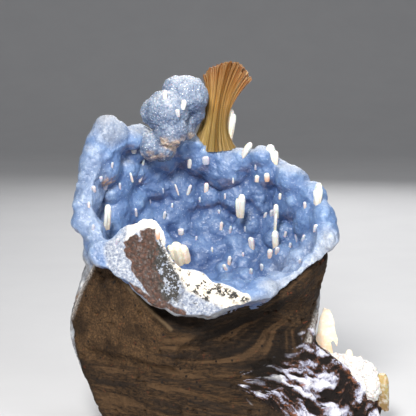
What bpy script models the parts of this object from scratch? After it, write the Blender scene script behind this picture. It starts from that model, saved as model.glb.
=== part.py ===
"""Heulandite and stilbite on blue chalcedony, grown over a piece of basalt.

Metres, +Z up; the bowl-shaped hollow opens to the front, which is -Y, and up. Sizes below are in
millimetres. The origin is on the flat base, under the middle of the specimen.
"""

import math
import random

import bmesh
import bpy
import numpy as np
from mathutils import Matrix, Vector, noise
from mathutils.bvhtree import BVHTree

MM = 0.001
GAP = 0.35
COLLECTION = "heulandite_and_stilbite_on_chalcedony"

# Where the specimen is seen from: points of the front are given in the frame of that view
EYE = Vector((-7.0, -480.28, 148.70))
PITCH = math.radians(8.0)
FOCAL = 1386.67
MIDDLE = 208.0

# The nodule: the rim of the hollow, then its underside in front, its back, and its lower back
NODULE = [
    (-43, -14, 67), (-47, -10, 73), (-50, -6, 80), (-50, -2, 88), (-48, 1, 96), (-45, 5, 103),
    (-40, 10, 106), (-32, 16, 105), (-18, 22, 101), (-6, 25, 98), (8, 25, 95), (18, 23, 93),
    (24, 19, 90), (30, 11, 84), (33, 3, 76), (35, -3, 70), (35, -1, 62), (31, 1, 47),
    (-28, -24, 60), (-10, -28, 52), (8, -26, 50), (22, -19, 54), (30, -11, 61),
    (-46, 16, 94), (-34, 25, 97), (-18, 29, 96), (2, 30, 91), (18, 28, 86), (28, 19, 78),
    (-50, 10, 80), (-47, 24, 72), (-30, 33, 80), (-8, 36, 74), (14, 34, 68), (27, 26, 62),
    (34, 12, 58), (-48, 8, 52), (-42, 28, 50), (-8, 37, 46), (24, 31, 42), (-20, -22, 42),
]

# The foot under it, with a fin at the left, and the ledge at the right
FOOT = [
    (-44, -9, 65), (-50, -5, 56), (-55.5, -3, 43), (-55, -3, 34), (-51, -5, 24), (-41, -11, 0),
    (-31, -20, 58), (-21, -26, 44), (-20, -25, 0), (-4, -31, 0), (16, -31, 0), (30, -24, 0),
    (-49, 10, 62), (-55, 7, 42), (-51, 14, 22), (-40, 20, 0), (-44, 27, 56), (-28, 33, 0),
    (-8, 36, 56), (8, 34, 0), (28, 26, 0), (24, 31, 54), (32, 18, 54), (31, 0, 48), (27.5, -7, 32),
    (14, -24, 44),
]
LEDGE = [
    (6, -26, 22), (22, -20, 32), (28, -8, 36), (36, 5, 26), (46, 5, 20), (54, 3, 15), (56, 1, 8),
    (53, -1, 0), (34, -22, 0), (10, -30, 0), (42, 18, 22), (53, 13, 12), (48, 18, 0), (24, 24, 30),
    (20, 18, 0),
]

# The hollow: an ellipsoid, its short axis towards the opening
HOLLOW_CENTRE = (-7.5, -5.0, 82.5)
HOLLOW_RADII = (41.0, 31.5, 33.0)
HOLLOW_FACING = 44.0
HOLLOW_ROLL = 9.0
LINING = 4.0
COAT = 1.6

# What broke away: the scoop below the lip, the face of the lip, and the coat in front of the foot
SCOOP_CENTRE = (14.0, -45.0, 38.5)
SCOOP_RADII = (40.0, 33.0, 19.0)
SCOOP_ROLL = -12.0
LIP_FACE_POINT = (-10.0, -28.0, 55.0)
LIP_FACE_NORMAL = (-0.15, -0.93, 0.33)
COAT_END = [
    (-80, -60, -10), (80, -60, -10), (-80, -4, -10), (80, 12, -10), (-80, -60, 20), (80, -60, 0),
    (-80, -4, 84), (80, 12, 62),
]

# Lumps of the lining: place in the view, width in the view
LUMPS = [
    (103, 168, 36), (137, 200, 24), (145, 215, 18), (160, 190, 20), (178, 187, 16), (180, 212, 17),
    (180, 228, 15), (200, 160, 30), (225, 170, 40), (252, 190, 26), (250, 225, 25), (275, 238, 20),
    (262, 205, 18), (310, 220, 30), (290, 180, 30), (235, 245, 25), (300, 262, 28), (120, 225, 20),
    (90, 200, 24), (150, 175, 22), (210, 195, 20), (215, 222, 20), (285, 210, 20),
    (270, 262, 20), (205, 245, 16), (125, 185, 18), (240, 160, 22), (268, 172, 22), (160, 235, 18),
    (225, 270, 18),
]
# Lumps on the rim and the horn: place in the view, depth and the three radii
RIM_LUMPS = [
    (106, 133, 6, 5.0, 6, 6.6), (117, 138, 8, 4.0, 5, 5), (99, 152, 4, 4.5, 5, 7),
    (91, 172, 1, 4.5, 5, 7), (86, 205, -3, 4.0, 5, 7), (94, 234, -9, 4.0, 5, 6),
    (138, 137, 15, 4, 4, 4.5), (160, 148, 20, 7, 5, 5), (186, 146, 22, 6, 5, 5.5),
    (208, 158, 24, 7, 4.5, 4.5),
    (240, 163, 24, 7, 4.5, 4.0), (266, 169, 23, 6, 4.5, 3.8), (292, 180, 18, 6, 4.5, 4.2),
    (312, 198, 11, 4.5, 4.5, 4.6), (322, 219, 3, 4, 4.5, 5), (327, 240, -3, 3.5, 4.5, 4),
]
# The thick broken lip in front
LIP_LUMPS = [
    (112, 254, -16, 6, 6, 5), (130, 250, -19, 7, 7, 9), (145, 241, -21, 7, 7, 9.5),
    (150, 270, -22, 8, 7, 9), (165, 285, -24, 8, 7, 8), (190, 294, -25, 9, 7, 8),
    (215, 300, -25, 9, 7, 6.5), (240, 301, -24, 8, 7, 5.5), (260, 297, -23, 6, 6, 5),
]
# The knob that stands on the rim
KNOB_LOBES = [
    (167, 112, 10, 7.8, 8.0, 7.8), (186, 97, 16, 8.0, 8.5, 7.4), (171, 130, 9, 6.0, 6.5, 6.2),
    (151, 146, 10, 4.2, 5.0, 5.2), (164, 147, 12, 4.5, 6.0, 5.0), (196, 110, 17, 4.8, 6.0, 6.0),
    (150, 112, 11, 3.0, 4.0, 4.5), (175, 88, 14, 4.5, 5.0, 4.0), (188, 125, 16, 4.5, 6.0, 6.0),
]

# The sheaf of stilbite: each fibre runs from its foot over a bend to its tip, all in the view
SHEAF_DEPTH = 23.0
SHEAF_FEET = [(195.5, 143), (201, 149), (209, 152), (217, 152), (225, 151), (232, 150), (236, 147)]
SHEAF_BENDS = [(214, 98), (214.5, 101), (215, 104), (215, 107), (215, 110), (214.5, 114), (214, 118)]
SHEAF_TIPS = [(202, 78), (209, 69), (219, 64.5), (229.5, 62), (238.5, 63), (246, 70), (252, 80)]
SHEAF_THICK = (4.6, 3.4, 4.4)
SHEAF_ROWS = 10
SHEAF_FLUTES = 9

# Single crystals: name, foot and tip in the view, depth of the foot and the tip, width, thickness
HEULANDITES = [
    ("heulandite_by_sheaf", (229, 140), (232, 109), 25, 26, 4.0, 3.0),
    ("heulandite_ridge_left", (241, 158), (250, 144), 23, 21, 3.2, 2.4),
    ("heulandite_ridge_right", (272, 166), (269, 146), 21, 19, 4.0, 2.8),
    ("heulandite_right_rim", (318, 210), (318, 183), 4, 3, 3.4, 2.4),
    ("heulandite_middle", (243, 215), (240, 195), 15, 11, 3.4, 2.4),
    ("heulandite_pair", (277, 252), (275, 206), 11, 6, 3.0, 2.2),
    ("heulandite_left", (108, 229), (107, 202), -5, -8, 3.2, 2.2),
    ("heulandite_behind_lip", (178, 276), (173, 243), -8, -13, 6.5, 4.0),
    ("ledge_tablet", (331, 352), (325, 308), 12, 12, 6.5, 3.0),
    ("ledge_crystal", (381, 408), (382, 374), 4, 2, 6.0, 4.5),
    ("ledge_cone", (350, 370), (350, 350), 10, 10, 3.6, 3.0),
]
COFFIN = [
    (-0.40, -0.35, 0.0), (0.40, -0.35, 0.0), (0.40, 0.35, 0.0), (-0.40, 0.35, 0.0),
    (-0.50, -0.45, 0.30), (0.50, -0.45, 0.34), (0.50, 0.45, 0.34), (-0.50, 0.45, 0.30),
    (-0.44, -0.42, 0.78), (0.46, -0.42, 0.70), (0.46, 0.42, 0.70), (-0.44, 0.42, 0.78),
    (-0.16, -0.26, 1.0), (0.20, -0.26, 0.95), (0.20, 0.26, 0.95), (-0.16, 0.26, 1.0),
]
# Small crystals of the lining, grown together with it: place in the view, height, width
NEEDLES = [
    (134, 148, 3.5, 1.8), (134, 177, 3.4, 1.7), (140, 177, 3.2, 1.6), (94, 188, 2.6, 2.0),
    (105, 186, 2.6, 2.0), (190, 163, 3.2, 2.4), (206, 160, 2.6, 2.2), (179, 190, 3.2, 1.8),
    (187, 190, 3.2, 1.8), (206, 188, 3.0, 1.7), (252, 244, 3.6, 2.2), (229, 262, 3.4, 2.0),
    (257, 178, 2.8, 2.0), (315, 228, 2.8, 2.2), (300, 238, 3.0, 1.8), (270, 254, 2.6, 2.0),
    (251, 271, 2.6, 2.0), (267, 177, 3.0, 2.2), (230, 230, 2.6, 1.8), (143, 162, 2.6, 1.8),
]
# The coat of the back swells in low lumps
BACK_LUMPS = 60
BACK_SEED = 7
# The back and the sides are uneven: height and width of the swells, and where they begin
SWELL = 3.5
SWELL_WIDTH = 24.0
SWELL_FROM = (4.0, 16.0)

# The white druse on the ledge
DRUSE_LUMPS = [
    (336, 366, 7, 4.0, 5.0, 4.6), (346, 367, 6, 4.5, 5.5, 4.6), (357, 370, 5, 4.5, 5.5, 4.8),
    (367, 376, 4, 4.0, 5.0, 4.8), (350, 380, 2, 5.5, 4.5, 4.5), (371, 388, 1, 3.5, 4.0, 5.0),
]


# Colours of the pieces: base colour, roughness, transmission
STONE = ("basalt", (0.085, 0.058, 0.038), 0.85, 0.0)
BLUE = ("blue_chalcedony", (0.22, 0.38, 0.66), 0.35, 0.0)
GOLD = ("stilbite", (0.42, 0.21, 0.06), 0.4, 0.0)
WHITE = ("heulandite", (0.82, 0.78, 0.72), 0.2, 0.15)
CREAM = ("cream_crystal", (0.66, 0.52, 0.36), 0.35, 0.0)
DRUSE = ("white_druse", (0.72, 0.70, 0.74), 0.4, 0.0)


def sight(across, down):
    """The direction in which a point of the view is seen."""
    side = (across - MIDDLE) / FOCAL
    rise = (MIDDLE - down) / FOCAL
    cos, sin = math.cos(PITCH), math.sin(PITCH)
    return Vector((side, cos + rise * sin, rise * cos - sin)).normalized()


def seen(across, down, depth):
    """The point seen there at a given y."""
    way = sight(across, down)
    return EYE + way * ((depth - EYE.y) / way.y)


def new_object(name, mesh):
    thing = bpy.data.objects.new(name, mesh)
    bpy.context.scene.collection.objects.link(thing)
    return thing


def ellipsoid(name, centre, radii, turn=None, segments=32):
    mesh = bpy.data.meshes.new(name)
    shape = bmesh.new()
    bmesh.ops.create_uvsphere(shape, u_segments=segments, v_segments=segments // 2, radius=MM)
    shape.to_mesh(mesh)
    shape.free()
    turn = turn or Matrix.Identity(4)
    mesh.transform(Matrix.Translation(Vector(centre) * MM) @ turn @ Matrix.Diagonal((*radii, 1.0)))
    return new_object(name, mesh)


def hull(name, corners):
    shape = bmesh.new()
    for corner in corners:
        shape.verts.new(Vector(corner) * MM)
    made = bmesh.ops.convex_hull(shape, input=shape.verts)
    inner = [v for v in made["geom_interior"] if isinstance(v, bmesh.types.BMVert)]
    bmesh.ops.delete(shape, geom=inner, context="VERTS")
    bmesh.ops.recalc_face_normals(shape, faces=shape.faces)
    mesh = bpy.data.meshes.new(name)
    shape.to_mesh(mesh)
    shape.free()
    return new_object(name, mesh)


def join(name, things):
    """One object that holds the meshes of them all."""
    shape = bmesh.new()
    for thing in things:
        shape.from_mesh(thing.data)
        bpy.data.objects.remove(thing)
    mesh = bpy.data.meshes.new(name)
    shape.to_mesh(mesh)
    shape.free()
    return new_object(name, mesh)


def settle(thing):
    """Turn the modifiers of an object into its mesh."""
    seen_now = thing.evaluated_get(bpy.context.evaluated_depsgraph_get())
    mesh = bpy.data.meshes.new_from_object(seen_now)
    thing.modifiers.clear()
    thing.data = mesh
    return thing


def even(thing, voxel, smooth, faces=None):
    """Melt the parts of a mesh into one skin, smooth it and thin it out."""
    skin = thing.modifiers.new("skin", "REMESH")
    skin.mode = "VOXEL"
    skin.voxel_size = voxel * MM
    if smooth:
        soften = thing.modifiers.new("soften", "SMOOTH")
        soften.factor = 0.5
        soften.iterations = smooth
    settle(thing)
    return thin_out(thing, faces) if faces else thing


def thin_out(thing, faces):
    thin = thing.modifiers.new("thin", "DECIMATE")
    thin.ratio = faces / (2.0 * len(thing.data.polygons))
    return settle(thing)


def combine(thing, other, operation="DIFFERENCE", keep=False):
    step = thing.modifiers.new("step", "BOOLEAN")
    step.operation = operation
    step.solver = "EXACT"
    step.object = other
    settle(thing)
    if not keep:
        bpy.data.objects.remove(other)
    return thing


def swell(thing):
    """Make the back and the sides of a stone uneven."""
    near, far = SWELL_FROM
    moves = []
    for vert in thing.data.vertices:
        share = min(max((vert.co.y / MM - near) / (far - near), 0.0), 1.0)
        height = noise.noise(vert.co / (SWELL_WIDTH * MM)) * SWELL * share
        moves.append(vert.co + vert.normal * height * MM)
    for vert, place in zip(thing.data.vertices, moves):
        vert.co = place
    return thing


def swollen(thing, by):
    """A copy of an object with each of its faces moved out by the same distance."""
    shape = bmesh.new()
    shape.from_mesh(thing.data)
    bmesh.ops.triangulate(shape, faces=shape.faces)
    shape.normal_update()
    moves = []
    for vert in shape.verts:
        planes = np.array([face.normal for face in vert.link_faces])
        way = np.linalg.lstsq(planes, np.ones(len(planes)), rcond=0.06)[0]
        moves.append(Vector(way * min(1.0, 4.0 / np.linalg.norm(way))) * by * MM)
    for vert, move in zip(shape.verts, moves):
        vert.co += move
    mesh = bpy.data.meshes.new("swollen")
    shape.to_mesh(mesh)
    shape.free()
    return new_object("swollen", mesh)


def tidy(thing):
    """Merge points that all but touch, and drop loose crumbs."""
    shape = bmesh.new()
    shape.from_mesh(thing.data)
    bmesh.ops.remove_doubles(shape, verts=shape.verts, dist=0.02 * MM)
    bmesh.ops.dissolve_degenerate(shape, edges=shape.edges, dist=0.01 * MM)
    bmesh.ops.triangulate(shape, faces=shape.faces)
    shape.verts.ensure_lookup_table()
    islands, left = [], set(shape.verts)
    while left:
        island, edge = set(), [left.pop()]
        while edge:
            vert = edge.pop()
            island.add(vert)
            for link in vert.link_edges:
                other = link.other_vert(vert)
                if other in left:
                    left.discard(other)
                    edge.append(other)
        islands.append(island)
    biggest = max(islands, key=len)
    crumbs = [v for island in islands if island is not biggest for v in island]
    bmesh.ops.delete(shape, geom=crumbs, context="VERTS")
    shape.to_mesh(thing.data)
    shape.free()
    return thing


def hollow(name, grown=0.0):
    facing = Matrix.Rotation(math.radians(90.0 - HOLLOW_FACING), 4, "X")
    roll = Matrix.Rotation(math.radians(HOLLOW_ROLL), 4, "Y")
    radii = [r + grown for r in HOLLOW_RADII]
    return ellipsoid(name, HOLLOW_CENTRE, radii, roll @ facing, 48)


def scoop(name):
    roll = Matrix.Rotation(math.radians(SCOOP_ROLL), 4, "Y")
    return ellipsoid(name, SCOOP_CENTRE, SCOOP_RADII, roll, 48)


def block(name, low, high):
    mesh = bpy.data.meshes.new(name)
    shape = bmesh.new()
    bmesh.ops.create_cube(shape, size=1.0)
    shape.to_mesh(mesh)
    shape.free()
    low, high = Vector(low) * MM, Vector(high) * MM
    size = high - low
    mesh.transform(Matrix.Translation((low + high) / 2) @ Matrix.Diagonal((*size, 1.0)))
    return new_object(name, mesh)


def paint(thing, colours):
    name, colour, roughness, clear = colours
    material = bpy.data.materials.get(name)
    if material is None:
        material = bpy.data.materials.new(name)
        material.use_nodes = True
        shader = material.node_tree.nodes["Principled BSDF"]
        shader.inputs["Base Color"].default_value = (*colour, 1.0)
        shader.inputs["Roughness"].default_value = roughness
        shader.inputs["Transmission Weight"].default_value = clear
    thing.data.materials.clear()
    thing.data.materials.append(material)


def half_space(name, point, normal):
    """A big block that fills the side of a plane to which the normal points."""
    big = block(name, (-120, -120, 0), (120, 120, 120))
    turn = Vector(normal).to_track_quat("Z", "Y").to_matrix().to_4x4()
    big.data.transform(Matrix.Translation(Vector(point) * MM) @ turn)
    return big


def between(points, share):
    """A place on the line through evenly spaced points."""
    at = share * (len(points) - 1)
    low = min(int(at), len(points) - 2)
    part = at - low
    return [a + (b - a) * part for a, b in zip(points[low], points[low + 1])]


def sheaf(name):
    """A loft through rings that cross the fibres."""
    rings = []
    steps = 4 * SHEAF_FLUTES
    for row in range(SHEAF_ROWS):
        s = row / (SHEAF_ROWS - 1)
        weights = ((1 - s) ** 2, 2 * s * (1 - s), s * s)
        thick = sum(w * t for w, t in zip(weights, SHEAF_THICK))
        ring = []
        for step in range(steps):
            turn = 2 * math.pi * step / steps
            share = 0.5 + 0.5 * math.cos(turn)
            ways = [between(line, share) for line in (SHEAF_FEET, SHEAF_BENDS, SHEAF_TIPS)]
            across, down = (sum(w * way[i] for w, way in zip(weights, ways)) for i in (0, 1))
            flute = 1.0 + 0.12 * s * (-1) ** step
            ring.append(seen(across, down, SHEAF_DEPTH + thick * flute * math.sin(turn)) * MM)
        rings.append(ring)
    shape = bmesh.new()
    grid = [[shape.verts.new(point) for point in ring] for ring in rings]
    for low, high in zip(grid, grid[1:]):
        for i in range(steps):
            j = (i + 1) % steps
            shape.faces.new((low[i], low[j], high[j], high[i]))
    for ring, way in ((grid[0], -1), (grid[-1], 1)):
        middle = shape.verts.new(sum((v.co for v in ring), Vector()) / steps)
        for i in range(steps):
            pair = (ring[i], ring[(i + 1) % steps])[::way]
            shape.faces.new((*pair, middle))
    bmesh.ops.recalc_face_normals(shape, faces=shape.faces)
    mesh = bpy.data.meshes.new(name)
    shape.to_mesh(mesh)
    shape.free()
    return new_object(name, mesh)


def touching(thing, other):
    """Whether the boxes around two objects meet."""
    boxes = [[[v.co[i] for v in o.data.vertices] for i in range(3)] for o in (thing, other)]
    return all(min(a) < max(b) and min(b) < max(a) for a, b in zip(*boxes))


def lumps(table):
    return [ellipsoid("lump", seen(a, d, y), radii, None, 20) for a, d, y, *radii in table]


def crystal(name, foot, tip, width, thick, spin=0.0):
    """A coffin-shaped blade from its foot to its tip."""
    foot, tip = Vector(foot), Vector(tip)
    way = tip - foot
    turn = way.to_track_quat("Z", "Y").to_matrix().to_4x4() @ Matrix.Rotation(spin, 4, "Z")
    place = Matrix.Translation(foot) @ turn @ Matrix.Diagonal((width, thick, way.length, 1.0))
    return hull(name, [place @ Vector(corner) for corner in COFFIN])


def main():
    for thing in list(bpy.data.objects):
        bpy.data.objects.remove(thing)

    whole = even(join("whole", [hull("n", NODULE), hull("f", FOOT), hull("l", LEDGE)]), 1.5, 8)
    swell(whole)
    coat = even(swollen(whole, COAT), 1.5, 0)
    combine(coat, hull("coat_end", COAT_END))
    lining = hollow("lining", LINING)
    combine(lining, even(swollen(whole, COAT), 1.5, 0), "INTERSECT")
    basalt = whole
    basalt.name = "basalt_matrix"
    combine(basalt, even(join("room", [hollow("hollow_out", LINING), *lumps(LIP_LUMPS)]), 1.2, 0))
    combine(basalt, scoop("scoop"))
    even(basalt, 1.3, 4, 2200)
    combine(basalt, block("under", (-100, -100, -50), (100, 100, 0)))
    tidy(basalt)

    wall = hollow("wall")
    tree = BVHTree.FromObject(wall, bpy.context.evaluated_depsgraph_get())

    def on_wall(across, down):
        way = sight(across, down)
        first = tree.ray_cast(EYE * MM, way)[0]
        return first and tree.ray_cast(first + way * 0.001, way)[0]

    crust = even(join("crust", [coat, lining]), 1.2, 0)
    combine(crust, wall)
    parts = [crust, *lumps(LIP_LUMPS), *lumps(RIM_LUMPS)]
    for across, down, width in LUMPS:
        place = on_wall(across, down)
        radius = width * 0.175
        parts.append(ellipsoid("lump", place / MM, (radius, radius, radius), None, 20))
    for across, down, height, width in NEEDLES:
        radii = (width / 2 + 0.4, width / 2 + 0.4, height / 2 + 0.6)
        place = on_wall(across, down) / MM - sight(across, down) * 3.0
        parts.append(ellipsoid("needle", place, radii, None, 12))
    chance = random.Random(BACK_SEED)
    skin = BVHTree.FromObject(crust, bpy.context.evaluated_depsgraph_get())
    for _ in range(BACK_LUMPS):
        start = Vector((chance.uniform(-52, 34), 90, chance.uniform(6, 84))) * MM
        place, normal = skin.ray_cast(start, Vector((0, -1, 0)))[:2]
        if place:
            radius = chance.uniform(4, 8)
            parts.append(ellipsoid("lump", place / MM - normal * radius * 0.76, [radius] * 3, None, 20))
    crust = even(join("chalcedony_crust", parts), 1.0, 2, 3100)
    combine(crust, scoop("scoop"))
    combine(crust, half_space("lip_face", LIP_FACE_POINT, LIP_FACE_NORMAL))
    combine(crust, block("under", (-100, -100, -50), (100, 100, 3)))
    combine(crust, swollen(basalt, GAP))
    tidy(crust)

    around = [swollen(basalt, GAP), swollen(crust, GAP)]
    knob = even(join("chalcedony_knob", lumps(KNOB_LOBES)), 0.8, 2, 520)
    gold = sheaf("stilbite_sheaf")
    druse = even(join("ledge_druse", lumps(DRUSE_LUMPS)), 0.8, 1, 300)
    blades = []
    for name, foot, tip, near, far, width, thick in HEULANDITES:
        blades.append(crystal(name, seen(*foot, near), seen(*tip, far), width, thick))
        paint(blades[-1], CREAM if name.startswith("ledge") or "behind" in name else WHITE)
    grown = [knob, gold, *blades, druse]
    for thing in grown:
        room = swollen(thing, GAP)
        for other in around:
            if touching(thing, other):
                combine(thing, other, keep=True)
        tidy(thing)
        around.append(room)
    for other in around:
        bpy.data.objects.remove(other)
    for thing, colours in ((basalt, STONE), (crust, BLUE), (knob, BLUE), (gold, GOLD),
                           (druse, DRUSE)):
        paint(thing, colours)

    home = bpy.data.collections.new(COLLECTION)
    bpy.context.scene.collection.children.link(home)
    for thing in [basalt, crust, *grown]:
        home.objects.link(thing)
        bpy.context.scene.collection.objects.unlink(thing)


if __name__ == "__main__":
    main()
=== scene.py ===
"""How the specimen looks: heulandite and stilbite on blue chalcedony, over basalt."""

import math
import random

import bmesh
import bpy
import numpy as np
import openvdb as vdb
from mathutils import Matrix, Vector, noise
from mathutils.bvhtree import BVHTree


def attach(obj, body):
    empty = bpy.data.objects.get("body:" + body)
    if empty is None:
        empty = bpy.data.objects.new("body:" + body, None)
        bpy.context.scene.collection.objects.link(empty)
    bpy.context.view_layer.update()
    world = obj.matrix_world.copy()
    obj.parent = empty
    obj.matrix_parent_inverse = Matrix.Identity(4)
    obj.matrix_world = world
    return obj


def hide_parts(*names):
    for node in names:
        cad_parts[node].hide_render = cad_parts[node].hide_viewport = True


MM = 0.001

# Where the specimen is seen from, as in the photograph; places in the view are in its frame
EYE = Vector((-7.0, -480.28, 148.70))
PITCH = math.radians(8.0)
FOCAL = 1386.67
MIDDLE = 208.0
LENS = 120.0

# The nodule: the rim of the hollow, then its underside in front, its back, and its lower back
NODULE = [
    (-43, -14, 67), (-47, -10, 73), (-50, -6, 80), (-50, -2, 88), (-48, 1, 96), (-45, 5, 103),
    (-40, 10, 106), (-32, 16, 105), (-18, 22, 101), (-6, 25, 98), (8, 25, 95), (18, 23, 93),
    (24, 19, 90), (30, 11, 84), (33, 3, 76), (35, -3, 70), (35, -1, 62), (31, 1, 47),
    (-28, -24, 60), (-10, -28, 52), (8, -26, 50), (22, -19, 54), (30, -11, 61),
    (-46, 16, 94), (-34, 25, 97), (-18, 29, 96), (2, 30, 91), (18, 28, 86), (28, 19, 78),
    (-50, 10, 80), (-47, 24, 72), (-30, 33, 80), (-8, 36, 74), (14, 34, 68), (27, 26, 62),
    (34, 12, 58), (-48, 8, 52), (-42, 28, 50), (-8, 37, 46), (24, 31, 42), (-20, -22, 42),
]

# The foot under it, with a fin at the left, and the ledge at the right
FOOT = [
    (-44, -9, 65), (-50, -5, 56), (-55.5, -3, 43), (-55, -3, 34), (-51, -5, 24), (-41, -11, 0),
    (-31, -20, 58), (-21, -26, 44), (-20, -25, 0), (-4, -31, 0), (16, -31, 0), (30, -24, 0),
    (-49, 10, 62), (-55, 7, 42), (-51, 14, 22), (-40, 20, 0), (-44, 27, 56), (-28, 33, 0),
    (-8, 36, 56), (8, 34, 0), (28, 26, 0), (24, 31, 54), (32, 18, 54), (31, 0, 48), (27.5, -7, 32),
    (14, -24, 44),
]
LEDGE = [
    (6, -26, 22), (22, -20, 32), (28, -8, 36), (36, 5, 26), (46, 5, 20), (54, 3, 15), (56, 1, 8),
    (53, -1, 0), (34, -22, 0), (10, -30, 0), (42, 18, 22), (53, 13, 12), (48, 18, 0), (24, 24, 30),
    (20, 18, 0),
]

# The hollow: an ellipsoid, its short axis towards the opening
HOLLOW_CENTRE = (-7.5, -5.0, 82.5)
HOLLOW_RADII = (41.0, 31.5, 33.0)
HOLLOW_FACING = 44.0
HOLLOW_ROLL = 9.0
LINING = 4.0
COAT = 1.6

# What broke away: the scoop below the lip, the face of the lip, and the coat in front of the foot
SCOOP_CENTRE = (14.0, -45.0, 38.5)
SCOOP_RADII = (40.0, 33.0, 19.0)
SCOOP_ROLL = -12.0
LIP_FACE_POINT = (-10.0, -28.0, 55.0)
LIP_FACE_NORMAL = (-0.15, -0.93, 0.33)
COAT_END = [
    (-80, -60, -10), (80, -60, -10), (-80, -4, -10), (80, 12, -10), (-80, -60, 20), (80, -60, 0),
    (-80, -4, 84), (80, 12, 62),
]

# Lumps of the lining: place in the view, width in the view
LUMPS = [
    (103, 168, 36), (137, 200, 24), (145, 215, 18), (160, 190, 20), (178, 187, 16), (180, 212, 17),
    (180, 228, 15), (200, 160, 30), (225, 170, 40), (252, 190, 26), (250, 225, 25), (275, 238, 20),
    (262, 205, 18), (310, 220, 30), (290, 180, 30), (235, 245, 25), (300, 262, 28), (120, 225, 20),
    (90, 200, 24), (150, 175, 22), (210, 195, 20), (215, 222, 20), (285, 210, 20),
    (270, 262, 20), (205, 245, 16), (125, 185, 18), (240, 160, 22), (268, 172, 22), (160, 235, 18),
    (225, 270, 18),
]
# Lumps on the rim and the horn: place in the view, depth and the three radii
RIM_LUMPS = [
    (106, 133, 6, 5.0, 6, 6.6), (117, 138, 8, 4.0, 5, 5), (99, 152, 4, 4.5, 5, 7),
    (91, 172, 1, 4.5, 5, 7), (86, 205, -3, 4.0, 5, 7), (94, 234, -9, 4.0, 5, 6),
    (138, 137, 15, 4, 4, 4.5), (160, 148, 20, 7, 5, 5), (186, 146, 22, 6, 5, 5.5),
    (208, 158, 24, 7, 4.5, 4.5),
    (240, 163, 24, 7, 4.5, 4.0), (266, 169, 23, 6, 4.5, 3.8), (292, 180, 18, 6, 4.5, 4.2),
    (312, 198, 11, 4.5, 4.5, 4.6), (322, 219, 3, 4, 4.5, 5), (327, 240, -3, 3.5, 4.5, 4),
]
# The thick broken lip in front
LIP_LUMPS = [
    (112, 254, -16, 6, 6, 5), (130, 250, -19, 7, 7, 9), (145, 241, -21, 7, 7, 9.5),
    (150, 270, -22, 8, 7, 9), (165, 285, -24, 8, 7, 8), (190, 294, -25, 9, 7, 8),
    (215, 300, -25, 9, 7, 6.5), (240, 301, -24, 8, 7, 5.5), (260, 297, -23, 6, 6, 5),
]
# The knob that stands on the rim
KNOB_LOBES = [
    (167, 112, 10, 7.8, 8.0, 7.8), (186, 97, 16, 8.0, 8.5, 7.4), (171, 130, 9, 6.0, 6.5, 6.2),
    (151, 146, 10, 4.2, 5.0, 5.2), (164, 147, 12, 4.5, 6.0, 5.0), (196, 110, 17, 4.8, 6.0, 6.0),
    (150, 112, 11, 3.0, 4.0, 4.5), (175, 88, 14, 4.5, 5.0, 4.0), (188, 125, 16, 4.5, 6.0, 6.0),
]

# The sheaf of stilbite: each fibre runs from its foot over a bend to its tip, all in the view
SHEAF_DEPTH = 23.0
SHEAF_FEET = [(195.5, 143), (201, 149), (209, 152), (217, 152), (225, 151), (232, 150), (236, 147)]
SHEAF_BENDS = [(214, 98), (214.5, 101), (215, 104), (215, 107), (215, 110), (214.5, 114), (214, 118)]
SHEAF_TIPS = [(202, 78), (209, 69), (219, 64.5), (229.5, 62), (238.5, 63), (246, 70), (252, 80)]
SHEAF_THICK = (4.6, 3.4, 4.4)
SHEAF_ROWS = 10
SHEAF_FLUTES = 9

# Single crystals: name, foot and tip in the view, depth of the foot and the tip, width, thickness
HEULANDITES = [
    ("heulandite_by_sheaf", (229, 140), (232, 109), 25, 26, 4.0, 3.0),
    ("heulandite_ridge_left", (241, 158), (250, 144), 23, 21, 3.2, 2.4),
    ("heulandite_ridge_right", (272, 166), (269, 146), 21, 19, 4.0, 2.8),
    ("heulandite_right_rim", (318, 210), (318, 183), 4, 3, 3.4, 2.4),
    ("heulandite_middle", (243, 215), (240, 195), 15, 11, 3.4, 2.4),
    ("heulandite_pair", (277, 252), (275, 206), 11, 6, 3.0, 2.2),
    ("heulandite_left", (108, 229), (107, 202), -5, -8, 3.2, 2.2),
    ("heulandite_behind_lip", (178, 276), (173, 243), -8, -13, 6.5, 4.0),
    ("ledge_tablet", (331, 352), (325, 308), 12, 12, 6.5, 3.0),
    ("ledge_crystal", (381, 408), (382, 374), 4, 2, 6.0, 4.5),
    ("ledge_cone", (350, 370), (350, 350), 10, 10, 3.6, 3.0),
]
COFFIN = [
    (-0.40, -0.35, 0.0), (0.40, -0.35, 0.0), (0.40, 0.35, 0.0), (-0.40, 0.35, 0.0),
    (-0.50, -0.45, 0.30), (0.50, -0.45, 0.34), (0.50, 0.45, 0.34), (-0.50, 0.45, 0.30),
    (-0.44, -0.42, 0.78), (0.46, -0.42, 0.70), (0.46, 0.42, 0.70), (-0.44, 0.42, 0.78),
    (-0.16, -0.26, 1.0), (0.20, -0.26, 0.95), (0.20, 0.26, 0.95), (-0.16, 0.26, 1.0),
]
# Small crystals of the lining, grown together with it: place in the view, height, width
NEEDLES = [
    (134, 148, 3.5, 1.8), (134, 177, 3.4, 1.7), (140, 177, 3.2, 1.6), (94, 188, 2.6, 2.0),
    (105, 186, 2.6, 2.0), (190, 163, 3.2, 2.4), (206, 160, 2.6, 2.2), (179, 190, 3.2, 1.8),
    (187, 190, 3.2, 1.8), (206, 188, 3.0, 1.7), (252, 244, 3.6, 2.2), (229, 262, 3.4, 2.0),
    (257, 178, 2.8, 2.0), (315, 228, 2.8, 2.2), (300, 238, 3.0, 1.8), (270, 254, 2.6, 2.0),
    (251, 271, 2.6, 2.0), (267, 177, 3.0, 2.2), (230, 230, 2.6, 1.8), (143, 162, 2.6, 1.8),
]
# The coat of the back swells in low lumps
BACK_LUMPS = 60
BACK_SEED = 7
# The back and the sides are uneven: height and width of the swells, and where they begin
SWELL = 3.5
SWELL_WIDTH = 24.0
SWELL_FROM = (4.0, 16.0)

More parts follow.
